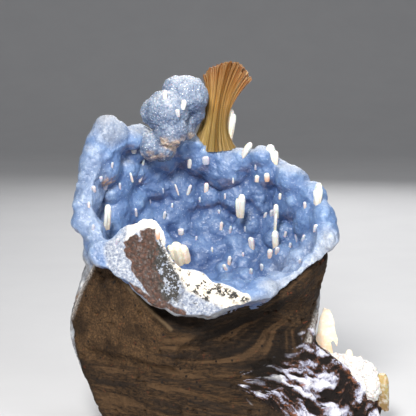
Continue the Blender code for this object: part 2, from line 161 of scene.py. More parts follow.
# The white druse on the ledge
DRUSE_LUMPS = [
    (336, 366, 7, 4.0, 5.0, 4.6), (346, 367, 6, 4.5, 5.5, 4.6), (357, 370, 5, 4.5, 5.5, 4.8),
    (367, 376, 4, 4.0, 5.0, 4.8), (350, 380, 2, 5.5, 4.5, 4.5), (371, 388, 1, 3.5, 4.0, 5.0),
]


# The grids on which the forms are worked out, in mm
GRID_LOW, GRID_HIGH, GRID_STEP = (-61.0, -34.0, -2.0), (62.0, 44.0, 126.0), 0.5
FINE_STEP = 0.4
BAND = 8.0
UNDERLAP = 1.0
FRONT_BACK = (12.0,)
LUMP_SEED, SMALL_LUMPS, SMALL_LUMP_RADII = 3, 130, (1.8, 4.4)
RIM_SEED, RIM_BEADS = 5, 130
FLOOR_SEED, FLOOR_LUMPS = 37, 150

# Small crystals on the lining: place, length and width in the view, lean to the right, peach share
PRISMS = [
    (134, 148, 10, 6, -5, 0.1), (132, 177, 10, 4, -14, 0.4), (140, 177, 10, 4, 16, 0.4),
    (101, 178, 5, 4, 0, 0.3), (94, 188, 7, 5, -10, 0.6), (105, 186, 7, 5, 12, 0.6),
    (190, 163, 9, 8, 5, 0.2), (206, 160, 8, 7, -5, 0.2), (178, 190, 10, 4, -16, 0.2),
    (188, 190, 10, 4, 18, 0.2), (206, 188, 9, 5, 4, 0.3), (252, 244, 11, 7, -8, 0.3),
    (229, 261, 9, 5, 5, 0.5), (226, 267, 7, 5, -24, 0.5), (257, 178, 7, 5, 4, 0.4),
    (315, 228, 7, 6, 10, 0.3), (297, 238, 8, 4, -12, 0.1), (303, 237, 8, 4, 14, 0.1),
    (270, 254, 8, 6, 0, 0.5), (251, 271, 7, 5, 0, 0.5), (267, 177, 8, 6, -4, 0.8),
    (230, 230, 7, 4, 6, 0.2), (143, 162, 7, 4, 8, 0.2), (136, 212, 8, 5, -6, 0.3),
    (164, 215, 8, 4, 10, 0.2), (181, 231, 6, 6, 0, 0.3), (277, 250, 8, 6, 4, 0.6),
    (165, 95, 10, 4, 3, 0.0), (183, 105, 8, 6, 10, 0.0), (178, 113, 6, 5, -8, 0.2),
    (200, 199, 5, 3, 0, 0.2), (221, 226, 8, 4, 6, 0.3), (163, 190, 5, 3, -8, 0.2), (89, 205, 6, 3, 0, 0.3),
    (93, 227, 6, 3, 5, 0.4), (256, 166, 6, 4, 6, 0.3), (219, 211, 5, 3, 0, 0.2), (285, 234, 5, 3, 10, 0.3),
    (243, 254, 5, 3, 0, 0.4), (262, 267, 6, 4, -6, 0.4), (290, 245, 6, 3, 4, 0.2), (212, 249, 5, 3, 0, 0.2),
    (196, 238, 5, 3, 8, 0.2), (150, 200, 6, 3, -4, 0.2), (225, 196, 5, 3, 0, 0.2), (265, 214, 6, 4, 8, 0.3),
    (300, 261, 6, 4, 0, 0.3), (112, 165, 5, 3, 8, 0.5), (120, 186, 6, 3, 0, 0.3), (233, 180, 5, 3, -5, 0.2),
    (245, 228, 6, 3, 0, 0.2), (172, 205, 5, 3, 6, 0.2), (305, 205, 6, 4, -5, 0.4), (280, 196, 5, 3, 0, 0.3),
    (272, 213, 6, 5, 4, 0.3), (158, 234, 11, 6, -4, 1.0), (117, 241, 7, 5, 14, 0.5),
]

# The flanks of the broken lip and other regions, as corners in the view
LIP_CORE = [(125, 243), (130, 238), (142, 239), (146, 230), (156, 229), (158, 240), (155, 252), (158, 270),
            (165, 284), (164, 298), (154, 301), (146, 291), (136, 277), (129, 264)]
LIP_SPECKS = [(153, 232), (160, 236), (166, 247), (172, 262), (181, 274), (184, 290), (178, 303), (164, 303),
              (158, 290), (154, 274), (149, 254)]
DARK_STRIP = [(126, 281), (150, 297), (166, 303), (186, 312), (186, 320), (160, 318), (138, 306), (124, 289)]
LEDGE_FACE = [(246, 386), (252, 375), (268, 371), (279, 360), (300, 352), (308, 334), (318, 328), (334, 338),
              (346, 352), (396, 368), (402, 420), (300, 420), (272, 410), (250, 400)]
# Where the sheets on the ledge fan out from, in the view
FAN = (228, 380)
LEDGE_WHITE = [(306, 348), (312, 332), (326, 330), (331, 352), (348, 374), (330, 384), (314, 370)]
LEFT_WALL = [(70, 160), (100, 150), (112, 180), (106, 230), (118, 244), (96, 258), (74, 226)]
HORN = [(96, 110), (124, 110), (128, 134), (112, 146), (98, 140)]
LEDGE_DARK = [(245, 394), (249, 358), (262, 346), (290, 346), (301, 354), (282, 366), (276, 388)]
SCOOP_FACE = [(137, 296), (150, 303), (190, 322), (252, 312), (276, 290), (338, 238), (342, 330),
              (312, 330), (306, 352), (270, 372), (240, 384), (196, 340), (170, 331), (152, 314)]
# The fin face at the left, painted in a lighter, lit tone of the basalt: painted light
LIT_FIN_FACE = [(97, 254), (109, 268), (137, 296), (155, 316), (172, 332), (196, 338), (150, 372),
            (96, 362), (60, 352), (66, 300)]
LEFT_COAT = [(62, 326), (60, 302), (76, 282), (92, 252), (99, 257), (82, 290), (72, 318)]
RIGHT_COAT = [(332, 238), (341, 238), (340, 268), (326, 304), (312, 344), (306, 342), (320, 300), (332, 266)]
RIGHT_RIM = [(262, 286), (274, 262), (300, 246), (322, 226), (340, 236), (336, 262), (300, 280), (276, 300)]
STAINED = [(78, 166), (128, 166), (128, 196), (82, 196)]
SCOOP_SHADE = [(170, 312), (250, 314), (300, 330), (306, 352), (262, 372), (216, 360), (180, 334)]
# A light line along the crease edge: painted highlight
CREASE_HIGHLIGHT = [(103, 259), (106, 258), (116, 271), (138, 294), (156, 313), (173, 329), (171, 332), (154, 316),
          (135, 297), (113, 273)]
# Under the lip: painted shade
UNDER_LIP_SHADE = [(117, 272), (139, 294), (157, 313), (174, 330), (204, 338), (262, 330), (300, 290), (262, 306),
             (210, 322), (170, 312), (140, 290)]
STREAKY = [(172, 325), (256, 300), (345, 235), (345, 330), (300, 360), (250, 420), (90, 425), (90, 360), (150, 370)]
RUSTY = [(270, 262), (336, 246), (318, 330), (290, 330)]
# Pits that stand out in the front: place, width and height in the view
VESICLES = [
    (100, 272, 4, 3), (125, 293, 4, 3), (97, 315, 5, 4), (108, 323, 3, 3), (134, 321, 4, 4),
    (115, 412, 6, 4), (145, 412, 5, 4), (180, 413, 6, 3), (205, 412, 4, 4), (250, 412, 5, 4),
    (86, 300, 3, 2), (118, 340, 4, 3), (90, 345, 3, 3), (160, 352, 4, 3), (205, 352, 5, 4),
    (150, 395, 4, 3), (225, 398, 5, 4), (300, 300, 4, 3), (290, 322, 4, 3), (318, 286, 3, 3),
]
# The long shallow groove low on the front: its course in the view
LONG_GROOVE = [(86, 352), (104, 359), (130, 364), (155, 371), (180, 379), (208, 385), (240, 391)]
# Other grooves: place in the view, depth, radii, turn and softness
GROOVES = [
    (150, 302, 4.5, 17, 9, 5.0, 43, 0.2), (180, 322, 5.0, 18, 12, 7.0, 30, 0.2),
]
SPLIT = (13.0, 0.30)
# Broad swellings of the wall: place and width in the view
BROAD_LUMPS = [(112, 188, 40), (112, 212, 38), (124, 170, 32), (128, 203, 32), (108, 232, 32), (296, 204, 30),
               (306, 226, 28), (285, 258, 30)]
STONE_SEED, PITS = 11, 190
KNOB_SEED, KNOB_BEADS = 13, 90
PRISM_SEED, CRYSTAL_SEED, SHEAF_SEED = 17, 19, 29
SHEAF_LAYERS = [(-0.92, 15), (-0.66, 22), (-0.33, 27), (0.0, 27), (0.33, 27), (0.66, 22), (0.92, 15)]
# How far the foot of the sheaf reaches further left than its core
SHEAF_FOOT_LEFT = 3.5
LIP_WAY = np.array(LIP_FACE_NORMAL) / np.linalg.norm(LIP_FACE_NORMAL)
SENSOR = 36.0
# The single crystals: foot and tip of each blade in the view, their depths, width and thickness
CRYSTALS = {
    "heulandite_by_sheaf": [((228, 142), (230, 109), 25, 26, 4.2, 2.8), ((230, 139), (234, 114), 24, 26, 2.2, 2.0)],
    "heulandite_ridge_left": [((240, 160), (251, 143), 20, 18, 2.9, 2.2), ((241, 160), (248, 148), 19, 17, 2.0, 1.8)],
    "heulandite_ridge_right": [((272, 168), (270, 145), 18, 16, 4.0, 2.8), ((275, 168), (276, 151), 17, 16, 2.2, 2.0),
                               ((268, 168), (266, 153), 17, 15, 1.8, 1.8)],
    "heulandite_right_rim": [((317, 209), (319, 183), 3, 2, 3.0, 2.4), ((318, 208), (315, 190), 2, 1, 1.8, 1.8),
                             ((320, 200), (321, 188), 3, 2, 1.6, 1.6)],
    "heulandite_middle": [((240, 217), (242, 195), 14, 10, 3.4, 2.6), ((238, 216), (237, 199), 13, 10, 1.6, 1.8)],
    "heulandite_pair": [((276, 218), (276, 205), 10, 7, 2.4, 2.0), ((275, 234), (276, 212), 11, 8, 1.2, 1.4),
                        ((276, 249), (275, 231), 11, 9, 3.0, 2.4), ((278, 254), (277, 245), 11, 10, 1.6, 1.6)],
    "heulandite_left": [((107, 229), (108, 205), -5, -8, 2.9, 2.2), ((105, 230), (106, 214), -6, -8, 1.4, 1.6)],
    "heulandite_behind_lip": [((180, 264), (175, 243), -10, -13, 4.8, 3.6), ((187, 262), (182, 246), -9, -12, 3.6, 3.2),
                              ((174, 258), (169, 246), -11, -13, 3.0, 2.8)],
    "ledge_crystal": [((381, 408), (382, 374), 4, 2, 6.0, 4.5), ((386, 410), (386, 382), 4, 2, 2.6, 3.6),
                      ((374, 404), (372, 370), 3, 2, 2.6, 2.6)],
    "ledge_cone": [((350, 372), (349, 350), 10, 10, 3.4, 2.8), ((354, 372), (355, 360), 9, 9, 2.2, 2.0)],
}
# The line along which the crust ends at the right, over the basalt
RIGHT_END = ((256, 310, -24), (339, 242, -4))
CREAMY = ("ledge_cone", "heulandite_behind_lip")
# A blade: its width at each height, and its corners seen from the tip
BLADE = [(0.0, 0.40), (0.3, 0.48), (0.78, 0.5), (0.93, 0.40), (1.0, 0.24)]
BLADE_PLAN = [(-1, -0.55), (-0.55, -0.9), (0.6, -0.9), (1, -0.5), (1, 0.6), (0.5, 0.9), (-0.6, 0.9), (-1, 0.5)]
# Painted shade: a deeper blue behind the lip, where the hollow lies in shade
SHADED_HOLLOW_AREA = [(146, 170), (200, 160), (262, 176), (292, 215), (286, 268), (262, 286), (200, 282), (160, 250)]
LIP_CREAM = [(128, 228), (142, 218), (150, 211), (158, 218), (167, 230), (169, 247), (182, 257), (198, 269),
             (222, 275), (246, 283), (272, 286), (274, 296), (258, 306), (234, 311), (210, 301), (187, 291),
             (179, 275), (170, 263), (164, 247), (155, 230), (146, 228), (134, 236), (126, 241)]
SCATTERED = [(166, 250), (184, 268), (204, 274), (250, 284), (262, 300), (220, 304), (184, 306), (170, 280)]
LIP_ZONE = [(106, 266), (105, 248), (118, 233), (132, 217), (150, 205), (162, 212), (174, 228), (176, 244),
            (188, 254), (204, 264), (226, 270), (250, 277), (280, 282), (284, 300), (256, 318), (218, 330),
            (180, 324), (146, 306), (124, 290)]
# Lobes of the knob that make way for the sheaf
SHRUNK = [(196, 110), (188, 125)]
# The flat cream crystal over the ledge
TABLET = [(322, 374), (316, 360), (314, 346), (317, 334), (320, 318), (324, 308), (330, 310), (334, 322), (335, 332),
          (338, 340), (337, 346), (333, 340), (330, 342), (334, 356), (337, 374)]
KNOB_UNDER = [(138, 138), (175, 124), (190, 128), (204, 138), (190, 152), (150, 160), (138, 152)]
LIP_DASHES = [(204, 283), (226, 287), (247, 296), (247, 304), (226, 298), (204, 291)]


# ---------------------------------------------------------------- places


def sight(across, down):
    """The direction in which a point of the view is seen."""
    side = (across - MIDDLE) / FOCAL
    rise = (MIDDLE - down) / FOCAL
    cos, sin = math.cos(PITCH), math.sin(PITCH)
    return Vector((side, cos + rise * sin, rise * cos - sin)).normalized()


def seen(across, down, depth):
    """The point seen there at a given y."""
    way = sight(across, down)
    return EYE + way * ((depth - EYE.y) / way.y)


def view_of(points):
    """Where in the view each point is seen."""
    cos, sin = math.cos(PITCH), math.sin(PITCH)
    away = points - np.array(EYE)
    depth = away[:, 1] * cos - away[:, 2] * sin
    rise = away[:, 1] * sin + away[:, 2] * cos
    return MIDDLE + FOCAL * away[:, 0] / depth, MIDDLE - FOCAL * rise / depth


# ---------------------------------------------------------------- meshes


def new_object(name, mesh):
    thing = bpy.data.objects.new(name, mesh)
    bpy.context.scene.collection.objects.link(thing)
    return thing


def from_bmesh(name, shape):
    mesh = bpy.data.meshes.new(name)
    shape.to_mesh(mesh)
    shape.free()
    return new_object(name, mesh)


def hull(name, corners):
    shape = bmesh.new()
    for corner in corners:
        shape.verts.new(Vector(corner) * MM)
    made = bmesh.ops.convex_hull(shape, input=shape.verts)
    inner = [v for v in made["geom_interior"] if isinstance(v, bmesh.types.BMVert)]
    bmesh.ops.delete(shape, geom=inner, context="VERTS")
    bmesh.ops.recalc_face_normals(shape, faces=shape.faces)
    return from_bmesh(name, shape)


def join(name, things):
    """One object that holds the meshes of them all."""
    shape = bmesh.new()
    for thing in things:
        shape.from_mesh(thing.data)
        bpy.data.objects.remove(thing)
    return from_bmesh(name, shape)


def settle(thing):
    """Turn the modifiers of an object into its mesh."""
    now = thing.evaluated_get(bpy.context.evaluated_depsgraph_get())
    mesh = bpy.data.meshes.new_from_object(now)
    thing.modifiers.clear()
    thing.data = mesh
    return thing


def even(thing, voxel, smooth):
    """Melt the parts of a mesh into one skin and smooth it."""
    skin = thing.modifiers.new("skin", "REMESH")
    skin.mode = "VOXEL"
    skin.voxel_size = voxel * MM
    soften = thing.modifiers.new("soften", "SMOOTH")
    soften.factor = 0.5
    soften.iterations = smooth
    return settle(thing)


def swell(thing):
    """Make the back and the sides of a stone uneven."""
    near, far = SWELL_FROM
    moves = []
    for vert in thing.data.vertices:
        share = min(max((vert.co.y / MM - near) / (far - near), 0.0), 1.0)
        height = noise.noise(vert.co / (SWELL_WIDTH * MM)) * SWELL * share
        moves.append(vert.co + vert.normal * height * MM)
    for vert, place in zip(thing.data.vertices, moves):
        vert.co = place
    return thing


def tree_of(thing):
    return BVHTree.FromObject(thing, bpy.context.evaluated_depsgraph_get())


def points_of(thing):
    points = np.empty(len(thing.data.vertices) * 3)
    thing.data.vertices.foreach_get("co", points)
    return points.reshape(-1, 3) / MM


def normals_of(thing):
    normals = np.empty(len(thing.data.vertices) * 3)
    thing.data.vertices.foreach_get("normal", normals)
    return normals.reshape(-1, 3)


def put_points(thing, points):
    thing.data.vertices.foreach_set("co", (points * MM).astype(np.float32).ravel())
    thing.data.update()


def edges_of(thing):
    edges = np.empty(len(thing.data.edges) * 2, dtype=np.int32)
    thing.data.edges.foreach_get("vertices", edges)
    return edges.reshape(-1, 2)


def averaged(values, edges, times):
    """Values of the points, evened out over their neighbours that many times."""
    count = len(values)
    both = np.concatenate([edges, edges[:, ::-1]])
    share = np.maximum(np.bincount(both[:, 0], minlength=count), 1)
    columns = values.reshape(count, -1).T
    for _ in range(times):
        near = [np.bincount(both[:, 0], weights=c[both[:, 1]], minlength=count) / share
                for c in columns]
        columns = 0.5 * columns + 0.5 * np.stack(near)
    return columns.T.reshape(values.shape)


def bulge_of(points, normals, edges, times):
    """How far each point stands out of its surroundings, in mm."""
    return ((points - averaged(points, edges, times)) * normals).sum(axis=1)


def mark(thing, name, values):
    """Keep a number for each point, for the materials."""
    layer = thing.data.attributes.new(name, "FLOAT", "POINT")
    layer.data.foreach_set("value", np.asarray(values, dtype=np.float32))


def ramp(values, low, high):
    share = np.clip((values - low) / (high - low), 0.0, 1.0)
    return share * share * (3 - 2 * share)


def code_of(cell, seed):
    """Four numbers between 0 and 1 for each cell of a lattice."""
    code = (cell[:, 0] * 73856093) ^ (cell[:, 1] * 19349663) ^ (cell[:, 2] * 83492791) ^ (seed * 7919)
    numbers = []
    for turn in range(4):
        code = ((code ^ (code >> 13)) * 1274126177 + turn) & 0xFFFFFFFF
        code = code ^ (code >> 16)
        numbers.append((code & 0xFFFF) / 65535.0)
    return np.stack(numbers, axis=1)


def lattice(points, seed):
    """Smooth noise between -1 and 1, with cells of size 1."""
    low = np.floor(points).astype(np.int64)
    part = points - low
    ease = part * part * (3 - 2 * part)
    total = np.zeros(len(points))
    for corner in range(8):
        step = np.array([corner & 1, corner >> 1 & 1, corner >> 2 & 1])
        weight = np.prod(np.where(step, ease, 1 - ease), axis=1)
        total += (code_of(low + step, seed)[:, 0] * 2 - 1) * weight
    return total


def layers(points, seed, count=3):
    """Noise of that many layers, each twice as fine as the one before."""
    return sum(lattice(points * 2 ** i, seed + i) / 2 ** i for i in range(count))


def cells(points, seed):
    """Distance to the nearest of the points strewn over cells of size 1, and a number for it."""
    low = np.floor(points).astype(np.int64)
    best, chosen = np.full(len(points), 9.0), np.zeros(len(points))
    for step in np.ndindex(3, 3, 3):
        cell = low + np.array(step) - 1
        numbers = code_of(cell, seed)
        gap = np.linalg.norm(points - cell - numbers[:, :3], axis=1)
        closer = gap < best
        best, chosen = np.where(closer, gap, best), np.where(closer, numbers[:, 3], chosen)
    return best, chosen


# ---------------------------------------------------------------- volumes


def turned(roll=0.0, facing=0.0):
    return (Matrix.Rotation(math.radians(roll), 3, "Y")
            @ Matrix.Rotation(math.radians(facing), 3, "X"))


class Volume:
    """Distances to a surface on a grid, in mm, negative inside."""

    def __init__(self, low, high, step):
        self.low, self.step = np.array(low, float), step
        self.shape = tuple(np.ceil((np.array(high) - self.low) / step).astype(int) + 1)
        self.field = np.full(self.shape, 9.0, np.float32)

    def copy(self, more=0.0):
        other = Volume(self.low, self.low, self.step)
        other.shape, other.field = self.shape, self.field - np.float32(more)
        return other

    def near(self, centre, reach):
        """The part of the grid around a place, and its offsets from there."""
        low = np.floor((np.array(centre) - reach - self.low) / self.step).astype(int)
        high = np.ceil((np.array(centre) + reach - self.low) / self.step).astype(int) + 1
        spans = [slice(max(a, 0), max(min(b, n), 0)) for a, b, n in zip(low, high, self.shape)]
        axes = [self.low[i] + self.step * np.arange(spans[i].start, spans[i].stop) - centre[i]
                for i in range(3)]
        return tuple(spans), np.meshgrid(*axes, indexing="ij", sparse=True)

    def ellipsoid_field(self, centre, radii, turn=None, reach=None):
        reach = reach if reach is not None else max(radii) + 3.0
        spans, (x, y, z) = self.near(centre, reach)
        if turn is not None:
            x, y, z = (turn[0][i] * x + turn[1][i] * y + turn[2][i] * z for i in range(3))
        k0 = np.sqrt((x / radii[0]) ** 2 + (y / radii[1]) ** 2 + (z / radii[2]) ** 2)
        k1 = np.sqrt((x / radii[0] ** 2) ** 2 + (y / radii[1] ** 2) ** 2 + (z / radii[2] ** 2) ** 2)
        return spans, (k0 * (k0 - 1.0) / np.maximum(k1, 1e-6)).astype(np.float32)

    def add(self, spans, other, soft):
        here = self.field[spans]
        if soft:
            blend = np.maximum(soft - np.abs(here - other), 0.0) / soft
            self.field[spans] = np.minimum(here, other) - blend * blend * soft / 4
        else:
            self.field[spans] = np.minimum(here, other)

    def cut(self, spans, other, soft=0.0):
        here = self.field[spans]
        self.field[spans] = np.maximum(here, -other)
        if soft:
            blend = np.maximum(soft - np.abs(here + other), 0.0) / soft
            self.field[spans] += blend * blend * soft / 4

    def ellipsoid(self, centre, radii, turn=None, soft=0.0):
        self.add(*self.ellipsoid_field(centre, radii, turn), soft)

    def hole(self, centre, radii, turn=None, soft=0.0):
        self.cut(*self.ellipsoid_field(centre, radii, turn), soft)

    def whole_space(self):
        return self.near(self.low + np.array(self.shape) * self.step / 2, 999.0)

    def plane(self, point, normal):
        """Distances to a plane, positive on the side to which the normal points."""
        _, (x, y, z) = self.near(point, 999.0)
        normal = np.array(normal) / np.linalg.norm(normal)
        return (x * normal[0] + y * normal[1] + z * normal[2]).astype(np.float32)

    def keep_below(self, point, normal):
        self.field = np.maximum(self.field, self.plane(point, normal))

    def hull_field(self, thing):
        """Distances to a convex mesh, which is used up."""
        field = np.full(self.shape, -999.0, np.float32)
        for face in thing.data.polygons:
            field = np.maximum(field, self.plane(np.array(face.center) / MM, face.normal))
        bpy.data.objects.remove(thing)
        return field

    def mesh_field(self, thing):
        """Distances to a closed mesh."""
        shape = bmesh.new()
        shape.from_mesh(thing.data)
        bmesh.ops.triangulate(shape, faces=shape.faces)
        points = np.array([v.co for v in shape.verts]) / MM - self.low
        faces = np.array([[v.index for v in f.verts] for f in shape.faces], dtype=np.uint32)
        shape.free()
        transform = vdb.createLinearTransform(voxelSize=self.step)
        grid = vdb.FloatGrid.createLevelSetFromPolygons(
            points.astype(np.float32), triangles=faces, transform=transform, halfWidth=BAND)
        field = np.full(self.shape, 9.0, np.float32)
        grid.copyToArray(field)
        return field

    def mesh(self, name):
        grid = vdb.FloatGrid(BAND)
        field = np.pad(self.field, 1, constant_values=BAND)
        grid.copyFromArray(np.clip(field / self.step, -BAND, BAND).astype(np.float32))
        points, quads = grid.convertToQuads(isovalue=0.0)
        points = (points.astype(float) - 1) * self.step + self.low
        mesh = bpy.data.meshes.new(name)
        mesh.from_pydata(points * MM, [], quads.astype(np.int32))
        mesh.update()
        return new_object(name, mesh)

    def at(self, points):
        """The distances at some points, read between those of the grid."""
        place = (points - self.low) / self.step
        low = np.clip(np.floor(place).astype(int), 0, np.array(self.shape) - 2)
        part = np.clip(place - low, 0.0, 1.0)
        total = np.zeros(len(points))
        for step in np.ndindex(2, 2, 2):
            weight = np.prod(np.where(step, part, 1 - part), axis=1)
            x, y, z = (low + np.array(step)).T
            total += self.field[x, y, z] * weight
        return total


def keep_faces(thing, keep):
    """Keep only the faces of which a point is to be kept."""
    shape = bmesh.new()
    shape.from_mesh(thing.data)
    faces = [f for f in shape.faces if not any(keep[v.index] for v in f.verts)]
    bmesh.ops.delete(shape, geom=faces, context="FACES")
    shape.to_mesh(thing.data)
    shape.free()
    return thing


# ---------------------------------------------------------------- the stone and its crust


def stone_form():
    """The whole lump, before anything is hollowed out of it."""
    parts = [hull("nodule", NODULE), hull("foot", FOOT), hull("ledge", LEDGE)]
    return swell(even(join("whole", parts), 1.5, 8))


def right_cut(volume):
    """Distances below the line along which the crust ends at the right, negative below it."""
    left, right = seen(*RIGHT_END[0]), seen(*RIGHT_END[1])
    normal = (left - EYE).cross(right - EYE)
    return volume.plane(left, normal if normal.z > 0 else -normal)


def make_volumes():
    """The volumes of the basalt and of the crust, without their small features."""
    whole = stone_form()
    base = Volume(GRID_LOW, GRID_HIGH, GRID_STEP)
    base.field = base.mesh_field(whole)
    bpy.data.objects.remove(whole)
    roll = turned(HOLLOW_ROLL, 90.0 - HOLLOW_FACING)
    everywhere, hollow = base.ellipsoid_field(HOLLOW_CENTRE, HOLLOW_RADII, roll, 999.0)
    _, scoop = base.ellipsoid_field(SCOOP_CENTRE, SCOOP_RADII, turned(SCOOP_ROLL), 999.0)

    stone = base.copy()
    stone.field = np.maximum(stone.field, LINING - UNDERLAP - hollow)
    stone.cut(everywhere, scoop)

    crust = base.copy(COAT)
    x, _, z = base.near(GRID_LOW, 999.0)[1]
    x, z = x + GRID_LOW[0], z + GRID_LOW[2]
    sides = 1.3 * np.clip((x - 14) / 8, 0, 1) + 0.9 * np.clip((-34 - x) / 8, 0, 1)
    crust.field += (sides * np.clip((70 - z) / 6, 0, 1)).astype(np.float32)
    ragged = 1.3 * np.sin(z / 4.1) + 0.9 * np.sin(z / 1.9 + 1.0) + 0.6 * np.sin(x / 1.3 + z / 2.3)
    coat_end = base.hull_field(hull("coat_end", COAT_END)) + ragged
    crust.field = np.maximum(crust.field, -coat_end.astype(np.float32))
    crust.add(everywhere, np.maximum(hollow - LINING, base.field - COAT), 1.0)
    crust.cut(everywhere, hollow)
    stone.field = np.minimum(stone.field, np.maximum.reduce(
        [base.field, 1.4 - hollow, right_cut(base), -scoop]))
    stone.keep_below((0, 0, 0), (0, 0, -1))
    return stone, crust, scoop


def on_wall(tree, across, down):
    """The place on the wall of the hollow that is seen there."""
    way = sight(across, down)
    hit = tree.ray_cast(EYE * MM, way)[0]
    return hit / MM if hit else None


def lump_crust(crust):
    """Cover the lining and the rim with lumps."""
    chance = random.Random(LUMP_SEED)
    bare = crust.mesh("bare")
    tree = tree_of(bare)
    for across, down, depth, *radii in LIP_LUMPS:
        crust.ellipsoid(seen(across, down, depth), radii, None, 1.5)
    for across, down, depth, *radii in RIM_LUMPS:
        share = 1.1 if across > 305 else 0.88
        crust.ellipsoid(seen(across, down, depth), [r * share for r in radii], None, 5.0)
    for across, down, width in BROAD_LUMPS + LUMPS:
        place = on_wall(tree, across, down)
        crust.ellipsoid(place, [width * 0.18] * 3, None, 2.2)
    for _ in range(SMALL_LUMPS):
        across, down = chance.uniform(76, 336), chance.uniform(118, 300)
        place = on_wall(tree, across, down)
        radius = chance.uniform(*SMALL_LUMP_RADII)
        if place is not None and crust.at(np.array([place]))[0] < 4.0:
            crust.ellipsoid(place, [radius] * 3, None, 2.2)
    chance = random.Random(FLOOR_SEED)
    for _ in range(FLOOR_LUMPS):
        way = Vector((chance.uniform(-1, 1), chance.uniform(-1, 0.3), chance.uniform(-1, 0)))
        place = tree.ray_cast(Vector(HOLLOW_CENTRE) * MM, way)[0]
        radius = chance.uniform(*SMALL_LUMP_RADII)
        if place:
            front = tree.ray_cast(EYE * MM, place - EYE * MM)[0]
            if front and (front - place).length > 3 * MM:
                crust.ellipsoid(place / MM, [radius] * 3, None, 2.2)
    chance = random.Random(BACK_SEED)
    for index in range(BACK_LUMPS * 8):
        start = Vector((chance.uniform(-52, 34), 90, chance.uniform(6, 84))) * MM
        place, normal = tree.ray_cast(start, Vector((0, -1, 0)))[:2]
        if place:
            small = index >= BACK_LUMPS
            radius = chance.uniform(1.5, 3.5) if small else chance.uniform(4, 8)
            inset = 0.5 if small else 0.76
            crust.ellipsoid(place / MM - normal * radius * inset, [radius] * 3, None, 0.6)
    bpy.data.objects.remove(bare)


def lump_rim(crust):
    """Small lumps on whatever the crust shows to the front and above."""
    chance = random.Random(RIM_SEED)
    skin = crust.mesh("skin")
    tree = tree_of(skin)
    for _ in range(RIM_BEADS):
        across, down = chance.uniform(74, 340), chance.uniform(112, 250)
        hit, normal = tree.ray_cast(EYE * MM, sight(across, down))[:2]
        radius = chance.uniform(1.0, 2.2)
        if hit:
            crust.ellipsoid(hit / MM - normal * radius * 0.6, [radius] * 3, None, 0.8)
    bpy.data.objects.remove(skin)


def druse(thing, size, height, seed, share=1.0):
    """Raise the points of a surface as packed small crystals."""
    points, normals = points_of(thing), normals_of(thing)
    gap, chosen = cells(points / size, seed)
    fine, _ = cells(points / (size * 0.55), seed + 1)
    rise = (0.5 - gap) * (0.6 + 0.8 * chosen) + (0.5 - fine) * 0.5
    put_points(thing, points + normals * (rise * height * share)[:, None])


# ---------------------------------------------------------------- crystals


def between(points, share):
    """A place on the line through evenly spaced points."""
    at = min(max(share, 0.0), 1.0) * (len(points) - 1)
    low = min(int(at), len(points) - 2)
    return [a + (b - a) * (at - low) for a, b in zip(points[low], points[low + 1])]


def fibre(shape, share, half, deep, thick, end, chance):
    """One blade of the sheaf: a ridged strip from its foot over its bend to its tip."""
    rows, profile = 14, (-1.0, -0.55, -0.1, 0.45, 1.0)
    rings, layer = [], shape.verts.layers.float.get("along") or shape.verts.layers.float.new("along")
    tint = shape.verts.layers.float.get("tint") or shape.verts.layers.float.new("tint")
    side = shape.verts.layers.float.get("lane") or shape.verts.layers.float.new("lane")
    shade = chance.random()
    for row in range(rows):
        t = end * row / (rows - 1)
        weights = ((1 - t) ** 2, 2 * t * (1 - t), t * t)
        width = sum(w * s for w, s in zip(weights, SHEAF_THICK))
        ring = []
        for index, place in enumerate(profile):
            lane = share + half * place
            ways = [between(line, lane) for line in (SHEAF_FEET, SHEAF_BENDS, SHEAF_TIPS)]
            across, down = (sum(w * way[i] for w, way in zip(weights, ways)) for i in (0, 1))
            across -= weights[0] * (1 - lane) * SHEAF_FOOT_LEFT
            ridge = (0.0, 0.42, 0.2, 0.5, 0.0)[index]
            ring.append(seen(across, down, SHEAF_DEPTH + width * deep - thick * ridge) * MM)
        ways = [between(line, share) for line in (SHEAF_FEET, SHEAF_BENDS, SHEAF_TIPS)]
        across, down = (sum(w * way[i] for w, way in zip(weights, ways)) for i in (0, 1))
        across -= weights[0] * (1 - share) * SHEAF_FOOT_LEFT
        ring.append(seen(across, down, SHEAF_DEPTH + width * deep + thick) * MM)
        verts = [shape.verts.new(point) for point in ring]
        for vert, place in zip(verts, (*profile, 0.0)):
            vert[layer], vert[tint], vert[side] = t, shade, share + half * place
        rings.append(verts)
    for low, high in zip(rings, rings[1:]):
        for i in range(len(low)):
            j = (i + 1) % len(low)
            shape.faces.new((low[i], low[j], high[j], high[i]))
    shape.faces.new(rings[0][::-1])
    way = (rings[-1][0].co - rings[-2][0].co).normalized()
    middle = sum((v.co for v in rings[-1]), Vector()) / len(rings[-1])
    top = shape.verts.new(middle + way * chance.uniform(0.2, 0.6) * MM)
    top[layer], top[tint], top[side] = 1.0, shade, share
    for i in range(len(rings[-1])):
        shape.faces.new((rings[-1][i], rings[-1][(i + 1) % len(rings[-1])], top))


def make_sheaf():
    chance = random.Random(SHEAF_SEED)
    shape = bmesh.new()
    for deep, count in SHEAF_LAYERS:
        reach = math.sqrt(max(1 - deep * deep, 0.05))
        for index in range(count):
            share = 0.5 + 0.5 * reach * (2 * (index + 0.5) / count - 1) + chance.uniform(-0.008, 0.008)
            half = reach * 0.5 / count * chance.uniform(0.9, 1.5)
            end = 1.0 - chance.random() ** 2 * 0.05
            fibre(shape, share, half, deep + chance.uniform(-0.05, 0.05), chance.uniform(0.5, 0.9), end, chance)
    bmesh.ops.recalc_face_normals(shape, faces=shape.faces)
    return from_bmesh("stilbite_blades", shape)


